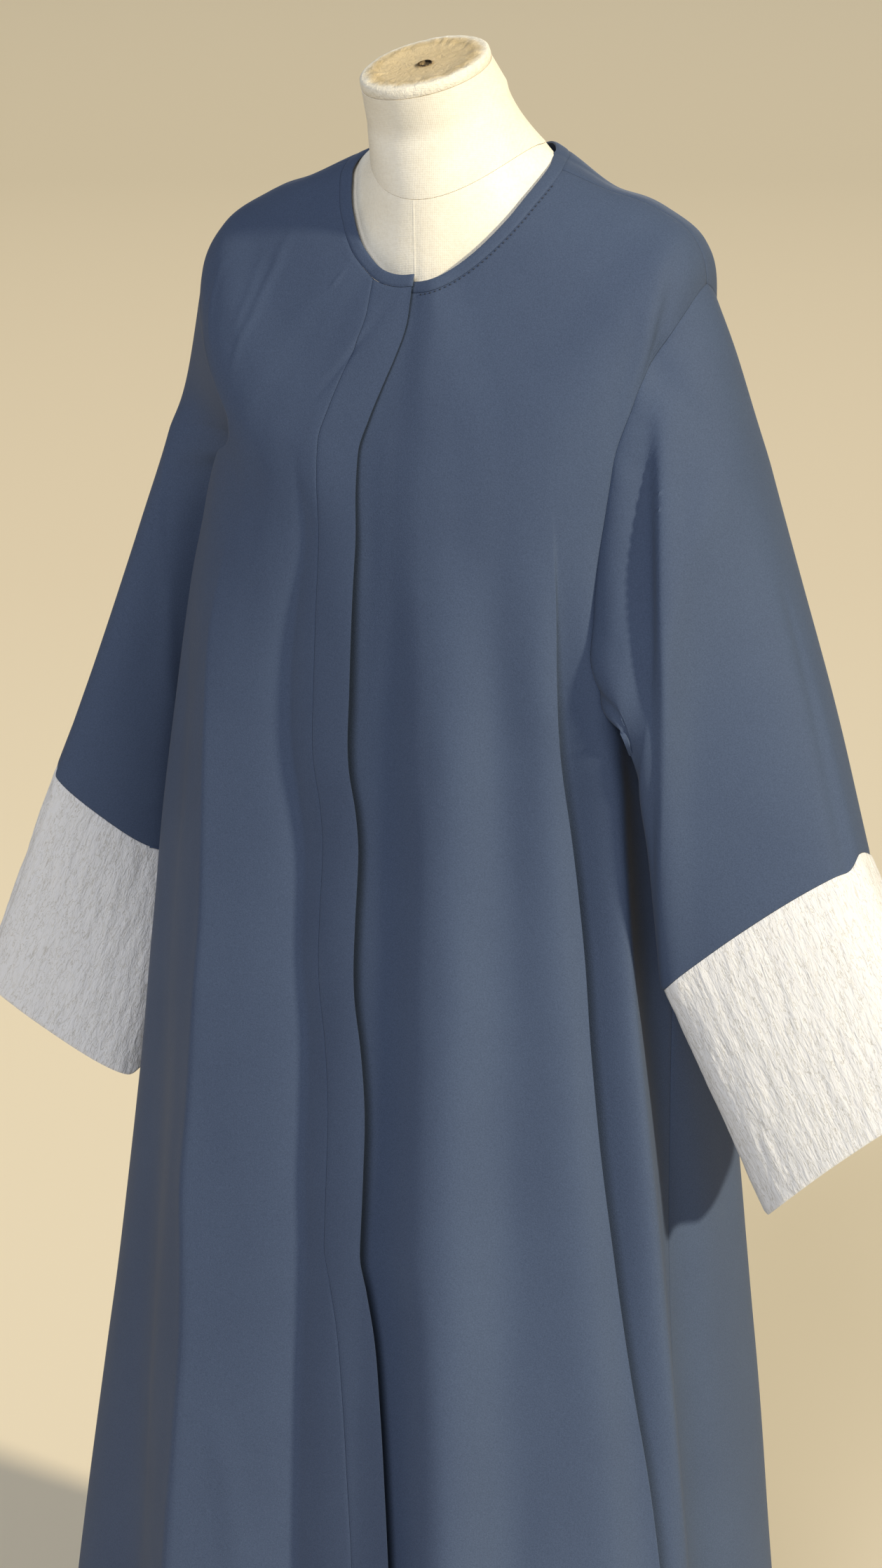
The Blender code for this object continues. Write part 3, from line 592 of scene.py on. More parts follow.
def shrink(grid, sides):
    """Moves the named borders of a grid inwards by the seam's half gap."""
    grid = grid.copy()
    for side in sides:
        lines = grid if side in ("top", "foot") else grid.swapaxes(0, 1)
        edge, beside = (0, 1) if side in ("top", "start") else (-1, -2)
        lines[edge] += unit(lines[beside] - lines[edge]) * SEAM_HALF_GAP
    return grid


# ---------------------------------------------------------------- helpers


def linear(hex_colour):
    """An sRGB hex colour as linear RGBA."""
    parts = [int(hex_colour[i : i + 2], 16) / 255 for i in (1, 3, 5)]
    return [p / 12.92 if p <= 0.04045 else ((p + 0.055) / 1.055) ** 2.4 for p in parts] + [1.0]


def new_material(name):
    """A new material, its node tree, its shader, and the place of a point on the object."""
    made = bpy.data.materials.new(name)
    made.use_nodes = True
    tree = made.node_tree
    where = add_node(tree, "ShaderNodeTexCoord").outputs["Object"]
    return made, tree, tree.nodes["Principled BSDF"], where


def fill(tree, node, **sockets):
    """Gives sockets a value, or another node's output to link. A socket goes by its name, with _
    for a space, or by i and its number."""
    for key, value in sockets.items():
        numbered = key[0] == "i" and key[1:].isdigit()
        socket = node.inputs[int(key[1:]) if numbered else key.replace("_", " ")]
        if isinstance(value, bpy.types.NodeSocket):
            tree.links.new(value, socket)
        else:
            socket.default_value = value


def add_node(tree, kind, settings=None, **sockets):
    """Adds a node with its settings and fills its sockets. The setting "stops" gives a colour
    ramp its places and hex colours."""
    node = tree.nodes.new(kind)
    for key, value in (settings or {}).items():
        if key != "stops":
            setattr(node, key, value)
            continue
        while len(node.color_ramp.elements) < len(value):
            node.color_ramp.elements.new(0.5)
        for element, (place, colour) in zip(node.color_ramp.elements, value):
            element.position = place
            element.color = linear(colour)
    fill(tree, node, **sockets)
    return node


# ---------------------------------------------------------------- finishes


MULTIPLY = {"data_type": "RGBA", "blend_type": "MULTIPLY"}


def crepe_cloth():
    """Polyester crepe, woven from hard-twisted yarn: a dull, pebbly face with a soft bloom at
    grazing angles and no clear thread. The grain is about 0.5 mm, drawn at about 1 mm to show."""
    made, tree, bsdf, where = new_material("slate_crepe")
    pebble = add_node(tree, "ShaderNodeTexNoise", Vector=where, Scale=950.0, Detail=2.0, Roughness=0.6)
    cloud = add_node(tree, "ShaderNodeTexNoise", Vector=where, Scale=9.0, Detail=3.0, Roughness=0.55)
    stops = ((0.25, CREPE_DARK), (0.75, CREPE_LIGHT))
    tone = add_node(tree, "ShaderNodeValToRGB", {"stops": stops}, Fac=pebble.outputs["Fac"])
    stops = ((0.3, "#EEEEF1"), (0.7, "#FFFFFF"))
    mottle = add_node(tree, "ShaderNodeValToRGB", {"stops": stops}, Fac=cloud.outputs["Fac"])
    shade = add_node(tree, "ShaderNodeMix", MULTIPLY, i0=0.6, i6=tone.outputs[0], i7=mottle.outputs[0])
    bump = add_node(tree, "ShaderNodeBump", Strength=0.35, Distance=0.0004, Height=pebble.outputs["Fac"])
    fill(tree, bsdf, Base_Color=shade.outputs[2], Normal=bump.outputs["Normal"])
    fill(tree, bsdf, Roughness=0.72, IOR=1.5, Specular_IOR_Level=0.2)
    fill(tree, bsdf, Sheen_Weight=0.05, Sheen_Roughness=0.4, Sheen_Tint=linear("#E6DCCB"))
    return made


def crinkle_cloth(name, side):
    """Crushed cotton blend: dry and chalky, with fine creases that mostly run down the sleeve and painted
    shade along them.
    The creases are 2 to 6 mm apart and the yarn, about 0.3 mm, is drawn at 0.8 mm to show."""
    made, tree, bsdf, where = new_material(name)
    turn = (0, math.radians(-SLEEVE_LEAN * side), 0)
    settings = {"vector_type": "TEXTURE"}
    turned = add_node(tree, "ShaderNodeMapping", settings, Vector=where, Rotation=turn, Scale=(1, 1, 4.6))
    down = {"Vector": turned.outputs[0]}
    streak = add_node(
        tree, "ShaderNodeTexNoise", Scale=330.0, Detail=3.0, Roughness=0.55, Distortion=0.6, **down
    )
    fine = add_node(
        tree, "ShaderNodeTexNoise", Scale=640.0, Detail=3.0, Roughness=0.65, Distortion=0.3, **down
    )
    broad = add_node(tree, "ShaderNodeTexNoise", Scale=110.0, Detail=2.0, Roughness=0.5, **down)
    yarn = add_node(tree, "ShaderNodeTexNoise", Vector=where, Scale=1300.0, Detail=1.0)
    # A crease runs wherever the streaks cross their middle value, and is lost in broad patches. Along a
    # crease the colour darkens: painted shade of the crease.
    centred = add_node(tree, "ShaderNodeMath", {"operation": "SUBTRACT"}, i0=streak.outputs["Fac"], i1=0.5)
    folded = add_node(tree, "ShaderNodeMath", {"operation": "ABSOLUTE"}, i0=centred.outputs[0])
    line = add_node(tree, "ShaderNodeMapRange", Value=folded.outputs[0], From_Max=0.03)
    patch = add_node(tree, "ShaderNodeMapRange", Value=broad.outputs["Fac"], From_Min=0.5, From_Max=0.75)
    line, patch = line.outputs["Result"], patch.outputs["Result"]
    painted_crease_shade = add_node(tree, "ShaderNodeMath", {"operation": "MAXIMUM"}, i0=line, i1=patch)
    # The darker stops are painted shade along the crease lines; the ivory stop is the cloth's own colour.
    stops = ((0.0, "#B9B3AB"), (0.6, "#D8D3CB"), (1.0, CUFF_IVORY))
    tone = add_node(tree, "ShaderNodeValToRGB", {"stops": stops}, Fac=painted_crease_shade.outputs[0])
    fill(tree, bsdf, Base_Color=tone.outputs["Color"])
    bump = None
    bumps = ((0.6, 0.003, broad), (0.7, 0.0014, streak), (0.7, 0.0009, fine), (0.25, 0.0003, yarn))
    for strength, high, source in bumps:
        below = {"Normal": bump.outputs["Normal"]} if bump else {}
        height = source.outputs["Fac"]
        bump = add_node(tree, "ShaderNodeBump", Strength=strength, Distance=high, Height=height, **below)
    fill(tree, bsdf, Normal=bump.outputs["Normal"])
    fill(tree, bsdf, Roughness=0.88, IOR=1.5, Specular_IOR_Level=0.25, Sheen_Weight=0.08)
    return made


def linen_cloth(name):
    """Plain-woven linen stretched over a hard shell: threads cross about every 0.8 mm, drawn at
    1.4 mm to show, with thicker slubs here and there and faint handling marks."""
    made, tree, bsdf, where = new_material(name)
    threads = {"Vector": where, "Scale": 225.0, "Distortion": 1.2, "Detail": 1.0}
    across = add_node(tree, "ShaderNodeTexWave", {"bands_direction": "Z"}, **threads).outputs["Fac"]
    along = add_node(tree, "ShaderNodeTexWave", {"bands_direction": "X"}, **threads).outputs["Fac"]
    weave = add_node(tree, "ShaderNodeMath", {"operation": "MULTIPLY"}, i0=across, i1=along)
    slub = add_node(tree, "ShaderNodeTexNoise", Vector=where, Scale=420.0, Detail=2.0)
    soft = add_node(tree, "ShaderNodeTexNoise", Vector=where, Scale=14.0, Detail=4.0, Roughness=0.6)
    stops = ((0.28, LINEN_SOIL), (0.5, LINEN_SHADE), (0.62, LINEN_CREAM))
    tone = add_node(tree, "ShaderNodeValToRGB", {"stops": stops}, Fac=soft.outputs["Fac"]).outputs["Color"]
    stops = ((0.35, "#EFECE7"), (0.6, "#FFFFFF"))
    grain = add_node(tree, "ShaderNodeValToRGB", {"stops": stops}, Fac=slub.outputs["Fac"]).outputs["Color"]
    colour = add_node(tree, "ShaderNodeMix", MULTIPLY, i0=0.35, i6=tone, i7=grain)
    low = add_node(tree, "ShaderNodeBump", Strength=0.3, Distance=0.0004, Height=weave.outputs[0])
    top = add_node(tree, "ShaderNodeBump", Strength=0.3, Distance=0.0004, Height=slub.outputs["Fac"])
    fill(tree, top, Normal=low.outputs["Normal"])
    fill(tree, bsdf, Base_Color=colour.outputs[2], Normal=top.outputs["Normal"])
    fill(tree, bsdf, Roughness=0.85, IOR=1.5, Specular_IOR_Level=0.25)
    return made, tree, bsdf, where


def worn_and_shaded_cap():
    """The same linen on the neck's end plate: yellowed, and glued where it is gathered, with a ring of
    painted shade over the gathers, grey-brown round the screw hole's mouth and painted shadow, all but
    black, down the hole."""
    made, tree, bsdf, where = linen_cloth("worn_and_shaded_cap_linen")
    middle = tuple(place * MM for place in CAP_MIDDLE)
    away = add_node(tree, "ShaderNodeVectorMath", {"operation": "DISTANCE"}, i0=where, i1=middle)
    fray = add_node(tree, "ShaderNodeTexNoise", Vector=where, Scale=160.0, Detail=3.0, Roughness=0.6)
    shift = add_node(tree, "ShaderNodeMapRange", Value=fray.outputs["Fac"], To_Min=-0.0035, To_Max=0.0035)
    away, shift = away.outputs["Value"], shift.outputs["Result"]
    reach = add_node(tree, "ShaderNodeMath", {"operation": "ADD"}, i0=away, i1=shift)
    # The ramp's places are shares of 60 mm from the middle of the screw hole.
    scaled = add_node(tree, "ShaderNodeMath", {"operation": "DIVIDE"}, i0=reach.outputs[0], i1=60 * MM)
    # Painted shadow, all but black, down the screw hole, then grey-brown round its mouth; the yellowed
    # plate, with a darker ring of painted shade over the gathers; white on the rim.
    stops = (
        (0.095, "#1D1610"),
        (0.115, "#AF9B7A"),
        (0.16, "#E4D3B3"),
        (0.58, "#E7D7B8"),
        (0.66, "#D6C5A4"),
        (0.74, "#EBDDC2"),
        (0.82, "#FFFFFF"),
    )
    rings = add_node(tree, "ShaderNodeValToRGB", {"stops": stops}, Fac=scaled.outputs[0])
    linen = bsdf.inputs["Base Color"].links[0].from_socket
    wear_and_shade = add_node(tree, "ShaderNodeMix", MULTIPLY, i0=1.0, i6=linen, i7=rings.outputs["Color"])
    crease = add_node(tree, "ShaderNodeTexNoise", Vector=where, Scale=190.0, Detail=4.0, Roughness=0.7)
    fill(tree, crease, Distortion=0.8)
    below = bsdf.inputs["Normal"].links[0].from_socket
    bump = add_node(tree, "ShaderNodeBump", Strength=0.9, Distance=0.0018, Height=crease.outputs["Fac"])
    fill(tree, bump, Normal=below)
    fill(tree, bsdf, Base_Color=wear_and_shade.outputs[2], Normal=bump.outputs["Normal"], Roughness=0.6)
    return made


def sewing_thread(name, dark, light):
    """Spun polyester thread: a dull twist with a slight shine along its top."""
    made, tree, bsdf, where = new_material(name)
    twist = add_node(tree, "ShaderNodeTexNoise", Vector=where, Scale=1500.0, Detail=1.0)
    stops = ((0.3, dark), (0.7, light))
    tone = add_node(tree, "ShaderNodeValToRGB", {"stops": stops}, Fac=twist.outputs["Fac"])
    fill(tree, bsdf, Base_Color=tone.outputs["Color"], Roughness=0.6)
    return made


def painted_steel():
    """Powder-coated steel tube and plate: satin, with a very fine orange-peel skin."""
    made, tree, bsdf, where = new_material("powder_coated_steel")
    peel = add_node(tree, "ShaderNodeTexNoise", Vector=where, Scale=700.0, Detail=2.0)
    wear = add_node(tree, "ShaderNodeTexNoise", Vector=where, Scale=12.0, Detail=5.0)
    stops = ((0.35, "#3F3B37"), (0.65, STEEL_BROWN))
    tone = add_node(tree, "ShaderNodeValToRGB", {"stops": stops}, Fac=wear.outputs["Fac"])
    rough = add_node(tree, "ShaderNodeMapRange", Value=wear.outputs["Fac"], To_Min=0.36, To_Max=0.48)
    bump = add_node(tree, "ShaderNodeBump", Strength=0.15, Distance=0.0002, Height=peel.outputs["Fac"])
    fill(tree, bsdf, Base_Color=tone.outputs["Color"], Normal=bump.outputs["Normal"])
    fill(tree, bsdf, Roughness=rough.outputs["Result"], IOR=1.5)
    return made


def pale_floor():
    """A matt seamless paper floor, pale behind the stand, soft grey in front of it, and darker with distance
    from the stand as painted shade.
    """
    made, tree, bsdf, where = new_material("pale_matt_floor")
    spread = add_node(tree, "ShaderNodeVectorMath", {"operation": "LENGTH"}, i0=where).outputs["Value"]
    far = add_node(tree, "ShaderNodeMath", {"operation": "DIVIDE"}, i0=spread, i1=40.0)  # metres
    # Painted shade: the colour darkens with distance from the stand, standing in for the light's falloff.
    stops = ((0.0, "#EFDDBE"), (0.06, "#ECDABA"), (0.14, "#E2CFAF"), (0.4, "#CDBC9D"), (1.0, "#C6B698"))
    tone = add_node(tree, "ShaderNodeValToRGB", {"stops": stops}, Fac=far.outputs[0]).outputs["Color"]
    away = (-0.434, 0.901, 0)
    behind = add_node(tree, "ShaderNodeVectorMath", {"operation": "DOT_PRODUCT"}, i0=where, i1=away)
    behind = behind.outputs["Value"]
    share = add_node(tree, "ShaderNodeMapRange", Value=behind, From_Min=-1.1, From_Max=0.15)
    share, grey = share.outputs["Result"], linear("#A9A8A4")
    mixed = add_node(tree, "ShaderNodeMix", {"data_type": "RGBA"}, i0=share, i6=grey, i7=tone)
    fill(tree, bsdf, Base_Color=mixed.outputs[2], Roughness=0.95, Specular_IOR_Level=0.1)
    return made


# ---------------------------------------------------------------- cloth


def pick(thing):
    """Selects one object alone and makes it the active one."""
    bpy.ops.object.select_all(action="DESELECT")
    bpy.context.view_layer.objects.active = thing
    thing.select_set(True)


def smooth(thing, degrees=40):
    """Shades a piece smooth, except along edges sharper than this angle."""
    pick(thing)
    bpy.ops.object.shade_smooth_by_angle(angle=math.radians(degrees))
    thing.select_set(False)


def new_piece(name, points, faces, finish):
    """An object with a mesh of these points, in metres, and faces."""
    mesh = bpy.data.meshes.new(name)
    mesh.from_pydata(points, [], faces)
    mesh.materials.append(finish)
    thing = bpy.data.objects.new(name, mesh)
    bpy.context.scene.collection.objects.link(thing)
    return thing


def grid_mesh(name, outer, inner, finish, closed=False):
    """A closed cloth wall between two grids of points in millimetres."""
    rows, cols = outer.shape[:2]
    points = np.concatenate([outer.reshape(-1, 3), inner.reshape(-1, 3)]) * MM
    far = rows * cols
    last = cols if closed else cols - 1
    i, j = np.meshgrid(np.arange(rows - 1), np.arange(last), indexing="ij")
    i, j = i.ravel(), j.ravel()
    k = (j + 1) % cols
    a, b, c, d = i * cols + j, (i + 1) * cols + j, (i + 1) * cols + k, i * cols + k
    # The outer and inner faces, then the rims at the top and foot, then the open sides.
    quads = [np.stack([a, b, c, d], 1), np.stack([a, d, c, b], 1) + far]
    j = np.arange(last)
    k = (j + 1) % cols
    foot = (rows - 1) * cols
    quads.append(np.stack([j, k, k + far, j + far], 1))
    quads.append(np.stack([foot + j, foot + j + far, foot + k + far, foot + k], 1))
    if not closed:
        i = np.arange(rows - 1) * cols
        quads.append(np.stack([i, i + far, i + cols + far, i + cols], 1))
        i = i + cols - 1
        quads.append(np.stack([i, i + cols, i + cols + far, i + far], 1))
    thing = new_piece(name, points.tolist(), np.concatenate(quads).tolist(), finish)
    smooth(thing, 50)
    return thing


def border_distance(grid):
    """How far each point of a grid lies from its four borders, in millimetres."""
    start, top = run_along(grid, 1), run_along(grid)
    return {"start": start, "end": start[:, -1:] - start, "top": top, "foot": top[-1:] - top}


def edge_dip(grid, borders):
    """Seams sink a little and folded edges round off: the depth and width of each border's dip."""
    distance = border_distance(grid)
    out = np.zeros(grid.shape[:2])
    for side, (depth, wide) in borders.items():
        out -= depth * np.exp(-((distance[side] / wide) ** 1.5))
    return out


NEAR_EDGE = np.array([0.0, 0.7, 1.6, 3.0, 5.0])  # how far from a border lines of points run


def with_edges(length, count, start=True, end=True):
    """Shares from 0 to 1 with extra lines close to the borders of a strip this long."""
    near = NEAR_EDGE / length
    before, after = near if start else np.zeros(1), 1 - near if end else np.ones(1)
    return np.unique(np.concatenate([before, np.linspace(before[-1], after[-1], count), after]))


def along(first, last, shares):
    """Columns at these shares of the way from one line to another."""
    return first[:, None] + (last - first)[:, None] * shares[None, :]


def split_columns(first, last, turn, still_shares, squeezed_shares):
    """Columns that run straight down as far as the turn, and follow the panel's edge beyond it."""
    turn = first * 0 + turn
    still = along(first, turn, still_shares)
    return np.concatenate([still[:, :-1], along(turn, last, squeezed_shares)], axis=1)


# Rows of points down an armhole, closer together at its top and foot.
ARMHOLE_ROWS = 60
EVEN_SHARES = np.arange(ARMHOLE_ROWS + 1) / ARMHOLE_ROWS
ARMHOLE_SHARES = 0.45 * EVEN_SHARES + 0.55 * (1 - np.cos(np.pi * EVEN_SHARES)) / 2
ARMHOLE_LEVELS = armhole_level(ARMHOLE_SHARES)
# The neck binding reaches down to its level, and the panels start a seam's width below it.
BINDING_LEVEL = 0.25
PANEL_TOP_LEVEL = 0.255
# Columns of points run straight down as far as this angle from the centre front or centre back.
FRONT_TURN = 40.0
BACK_TURN = 55.0
ROW_STEP = 6.5
TOP_RING_DROP = 36.0  # length of cloth to one level, at the neck and at the hem
HEM_RING_DROP = 210.0


def panel_levels():
    """Levels of the rows of points down the body cloth: close together at both ends, the
    armhole's own beside it, and an even step below it."""
    top = PANEL_TOP_LEVEL + NEAR_EDGE / TOP_RING_DROP
    chest = np.linspace(0.44, ARMHOLE_TOP_LEVEL, 44)[:-1]
    run = np.linspace(ARMHOLE_FOOT_LEVEL, HEM_LEVEL, 400)
    z = table_at(RINGS, RING_COLUMNS, "z_side", run)
    # The even rows stop short of the ones along the hem.
    heights = np.arange(z[0] - ROW_STEP, HEM_Z + 7, -ROW_STEP)
    below = np.interp(-heights, -z, run)
    hem = HEM_LEVEL - NEAR_EDGE[::-1] / HEM_RING_DROP
    return np.concatenate([top, chest, ARMHOLE_LEVELS, below, hem])


def side_angle(levels, column):
    """Angle of the front's or the back's edge: the armhole, and the side seam above and below it."""
    share = (levels - ARMHOLE_TOP_LEVEL) / (ARMHOLE_FOOT_LEVEL - ARMHOLE_TOP_LEVEL)
    inside = (share > 0) & (share < 1)
    cut = np.where(inside, armhole_cut(np.clip(share, 0, 1), column), 0)
    swing = SEAM_SWING * ease((levels - ARMHOLE_FOOT_LEVEL) / SEAM_SWING_LEVELS)
    swing = swing + SHOULDER_SWING * (1 - ease(levels / SHOULDER_SWING_LEVELS))
    return 90 - cut - (-swing if column == "back" else swing)


def cloth_panel(
    name, angles, levels, sides, borders, finish, lift=0.0, drop=0.0, laps=True, thick=CLOTH, thin=None
):
    """A body piece from a grid of angles and levels. sides are the borders that end at a seam,
    laps marks where it belongs to the lapping front and thin is a pressed edge, which thins out."""
    grid = np.broadcast_to(levels[:, None], angles.shape)
    drop = drop + np.where(laps, lap_lift(angles, grid), 0.0)
    plain = body_point(angles, grid, lift + drop)
    plain = np.where(np.asarray(laps)[..., None], lap_rise(plain, angles, grid), plain)
    dip = edge_dip(plain, borders)
    normal = body_normal(angles, grid)
    outer = shrink(plain + normal * dip[..., None], sides)
    if thin:
        thick = (thick * (0.12 + 0.88 * ease(border_distance(plain)[thin] / 2.6)))[..., None]
    inner = shrink(plain, sides) - normal * thick
    return grid_mesh(name, outer, inner, finish)


def make_body(finish):
    """The two fronts, the placket on the lapping one, and the back."""
    levels = panel_levels()
    edge = lap_angle(levels)
    stitch = lap_angle(levels, PLACKET_WIDTH)
    under = lap_angle(levels, UNDERLAP)
    side_right = side_angle(levels, "front_right")
    side_left = side_angle(levels, "front_left")
    made = {}

    still, squeezed = with_edges(230.0, 46, end=False), with_edges(120.0, 56, start=False)
    angles = split_columns(stitch, -side_right, -FRONT_TURN, still, squeezed)[:, ::-1]
    borders = {"top": SEAM_DIP, "start": SEAM_DIP, "end": FLAT_SEAM_DIP, "foot": HEM_DIP}
    sides = ("top", "start", "end")
    made["front_right"] = cloth_panel("front_right_cloth", angles, levels, sides, borders, finish)

    angles = along(stitch, edge, with_edges(PLACKET_WIDTH, 8))
    borders = {"top": SEAM_DIP, "start": FLAT_SEAM_DIP, "foot": HEM_DIP}
    sides = ("top", "start")
    made["placket"] = cloth_panel("placket_cloth", angles, levels, sides, borders, finish, thin="end")

    still, squeezed = with_edges(260.0, 60), with_edges(120.0, 36)
    angles = split_columns(under, side_left, crest_angle(levels), still, squeezed)
    drop = under_drop(angles, np.broadcast_to(levels[:, None], angles.shape))
    borders = {"top": SEAM_DIP, "start": FOLD_DIP, "end": SEAM_DIP, "foot": HEM_DIP}
    made["front_left"] = cloth_panel(
        "front_left_cloth", angles, levels, ("top", "end"), borders, finish, drop=drop, laps=False
    )

    cut = 90 - side_angle(levels, "back")
    still, squeezed = with_edges(200.0, 40, start=False, end=False), with_edges(110.0, 22, start=False)
    left = split_columns(levels * 0 + 180, 90 + cut, 180 - BACK_TURN, still, squeezed)[:, ::-1]
    right = split_columns(levels * 0 + 180, 270 - cut, 180 + BACK_TURN, still, squeezed)
    angles = np.concatenate([left[:, :-1], right], axis=1)
    borders = {"top": SEAM_DIP, "start": SEAM_DIP, "end": SEAM_DIP, "foot": HEM_DIP}
    sides = ("top", "start", "end")
    made["back"] = cloth_panel("back_cloth", angles, levels, sides, borders, finish, laps=False)
    return made


def make_binding(finish):
    """The bias strip round the neckline, from under the lapping front right round to its edge."""
    # Rows of points, closer together towards both edges of the strip.
    levels = np.array([0.0, 0.02, 0.045, 0.08, 0.12, 0.155, 0.185, 0.21, 0.225, 0.238, BINDING_LEVEL])
    edge = lap_angle(levels)
    under = lap_angle(levels, BINDING_UNDERLAP)
    angles = along(under, edge + 360, with_edges(700.0, 200))
    grid = np.broadcast_to(levels[:, None], angles.shape)
    drop = np.where(angles < 180, under_drop(angles, grid), 0.0)
    borders = {"top": (0.8, 1.3), "foot": (0.9, 1.3), "start": (0.6, 1.0), "end": (0.8, 1.0)}
    laps = angles > 180
    return cloth_panel(
        "neck_binding_cloth", angles, levels, ("foot",), borders, finish, 0.5, drop, laps, BINDING_CLOTH
    )


def sleeve_section(rows, share, turns):
    """One loop of a sleeve or cuff without its blend into the armhole."""
    col = {name: float(table_at(rows, SLEEVE_COLUMNS, name, share)) for name in SLEEVE_COLUMNS[1:]}
    w = np.array([col["wx"], col["wy"], col["wz"]])
    v = np.array([col["vx"], col["vy"], col["vz"]])
    t = np.radians(turns)
    c, s = np.cos(t), np.sin(t)
    middle, half = (w + v) / 2, (w - v) / 2
    ahead = np.where(s > 0, -col["front"], col["back"])
    flat = (np.sign(c) * np.abs(c) ** SLEEVE_FULLNESS)[:, None] * half
    return middle + flat + (np.abs(s) ** SLEEVE_FULLNESS * ahead)[:, None] * np.array([0, 1.0, 0])


def armhole_loop(side, turns):
    """The armhole seam line at these turns, for the wearer's left (1) or right (-1)."""
    up = np.minimum(turns, 360 - turns)
    share = np.interp(up / 180, EVEN_SHARES, ARMHOLE_SHARES)
    front = armhole_cut(share, "front_left" if side > 0 else "front_right")
    cut = np.where(turns <= 180, front, -armhole_cut(share, "back"))
    angle, level = side * (90 - cut), armhole_level(share)
    return body_point(angle, level), body_normal(angle, level)


def tube_normals(grid, side):
    """Unit normals of a sleeve's loops, outwards."""
    down = np.gradient(grid, axis=0)
    across = (np.roll(grid, -1, axis=1) - np.roll(grid, 1, axis=1)) / 2
    return unit(np.cross(across, down) * side)


def on_front(turns):
    """1 over the front of a sleeve's tube and 0 over its back, with a smooth step between."""
    return ease(np.sin(np.radians(turns)) * 1.35)


def tube_folds(grid, side, shares, turns, cuff):
    """Moves a sleeve's loops out or in along its folds, which fade by half down the cuff."""
    normal = tube_normals(grid, side)
    for i, share in enumerate(shares):
        for row in SLEEVE_FOLDS if side > 0 else SLEEVE_FOLDS + RIGHT_SLEEVE_FOLDS:
            f = dict(zip(SLEEVE_FOLD_COLUMNS, row))
            if cuff[i]:
                on, turn, out = 1.0 - 0.5 * share, f["path"][-1][1], f["out_end"]
            else:
                on = float(ease((share - f["start"]) / 0.15))
                turn = np.interp(share, [p[0] for p in f["path"]], [p[1] for p in f["path"]])
                out = f["out"] + (f["out_end"] - f["out"]) * share
            grid[i] += normal[i] * (on * out * np.exp(-((wrap(turns - turn) / f["wide"]) ** 2)))[:, None]


def plumb_ridge(grid, turns):
    """How far the left sleeve's front crease moves its cloth outwards."""
    turn = math.radians(RIDGE_TURN)
    z = grid[..., 2]
    at, out, fall = (table_at(SLEEVE_RIDGE, RIDGE_COLUMNS, name, z) for name in ("across", "out", "fall"))
    off = grid[..., 0] * math.cos(turn) + grid[..., 1] * math.sin(turn) - at
    out = out * np.exp(-((off / RIDGE_HALF_WIDTH) ** 2))
    back = 0.75 * ease((-off - RIDGE_FALL_OVER) / RIDGE_BACK_OVER)
    return (out - fall * ease(-off / RIDGE_FALL_OVER) * (1 - back)) * on_front(turns)


def seam_sag(grid, shares, turns, cuff):
    """The cuff seam and the hem hang lower beside the tube's folded edges than between them."""
    near = np.where(cuff, 1.0, ease((shares - SAG_START) / (1 - SAG_START)))[:, None]
    turned = np.radians(np.abs(wrap(turns)))
    amount = SAG_LEAST + CUFF_SAG * np.sin(turned - math.radians(SAG_MIDDLE)) ** 2
    return unit(np.gradient(grid, axis=0)) * (near * amount * ease(np.sin(turned) / 0.4))[..., None]


def armhole_fall(grid, turns):
    """The right sleeve hangs back behind the chest, along the front of its armhole."""
    run = run_along(grid)
    down = ease((FALL_TOP_Z - grid[..., 2]) / FALL_TOP_OVER) * on_front(turns)
    kept = ease(run / FALL_OVER) * (1 - ease((run - FALL_KEPT) / FALL_GONE_OVER))
    return (ARMHOLE_FALL * down * kept)[..., None] * np.array(FALL_TOWARDS)


def make_sleeve(word, side, sleeve_rows, cuff_rows, blue, ivory):
    """Sleeve and cuff as one run of loops, cut at the cuff seam, so that their walls butt there."""
    turns = np.arange(SLEEVE_POINTS) * (360 / SLEEVE_POINTS)
    hole, hole_normal = armhole_loop(side, turns)
    start = sleeve_section(sleeve_rows, 0.0, turns)
    sleeve_shares = with_edges(SLEEVE_LENGTH, 84)
    cuff_shares = with_edges(CUFF_LENGTH, 76)[1:]
    shares = np.concatenate([sleeve_shares, cuff_shares])
    cut = len(sleeve_shares)
    on_cuff = np.arange(len(shares)) >= cut
    loops = []
    for share in sleeve_shares:
        blend = float(ease(share / SLEEVE_BLEND))
        loops.append(sleeve_section(sleeve_rows, share, turns) + (hole - start) * (1 - blend))
    loops += [sleeve_section(cuff_rows, share, turns) for share in cuff_shares]
    grid = np.array(loops)
    grid = grid + seam_sag(grid, shares, turns, on_cuff)
    tube_folds(grid, side, shares, turns, on_cuff)
    if side > 0:
        on = ease((shares + on_cuff - 0.01) / 0.1)[:, None]
        grid += tube_normals(grid, side) * (plumb_ridge(grid, turns) * on)[..., None]
    else:
        grid += armhole_fall(grid, turns)
    # At the armhole the wall turns into line with the body cloth's, over the first few loops.
    normal = tube_normals(grid, side)
    for i in range(6):
        share = 1 - i / 6
        normal[i] = unit(hole_normal * share + normal[i] * (1 - share))
    made = {}
    for key, part, thick, finish, borders in (
        ("sleeve_" + word, slice(0, cut), CLOTH, blue, {"top": SEAM_DIP, "foot": (0.5, 1.5)}),
        ("cuff_" + word, slice(cut - 1, None), CUFF_CLOTH, ivory, {"top": (0.4, 1.5), "foot": (0.9, 1.2)}),
    ):
        plain, n = grid[part], normal[part]
        dip = edge_dip(plain, borders)
        if key.startswith("cuff"):
            dip = dip + crinkle(plain, side)
        outer = shrink(plain + n * dip[..., None], ("top", "foot"))
        inner = shrink(plain, ("top", "foot")) - n * thick
        if side > 0:
            outer, inner = outer[:, ::-1], inner[:, ::-1]
        made[key] = grid_mesh(key + "_cloth", outer, inner, finish, closed=True)
    return made


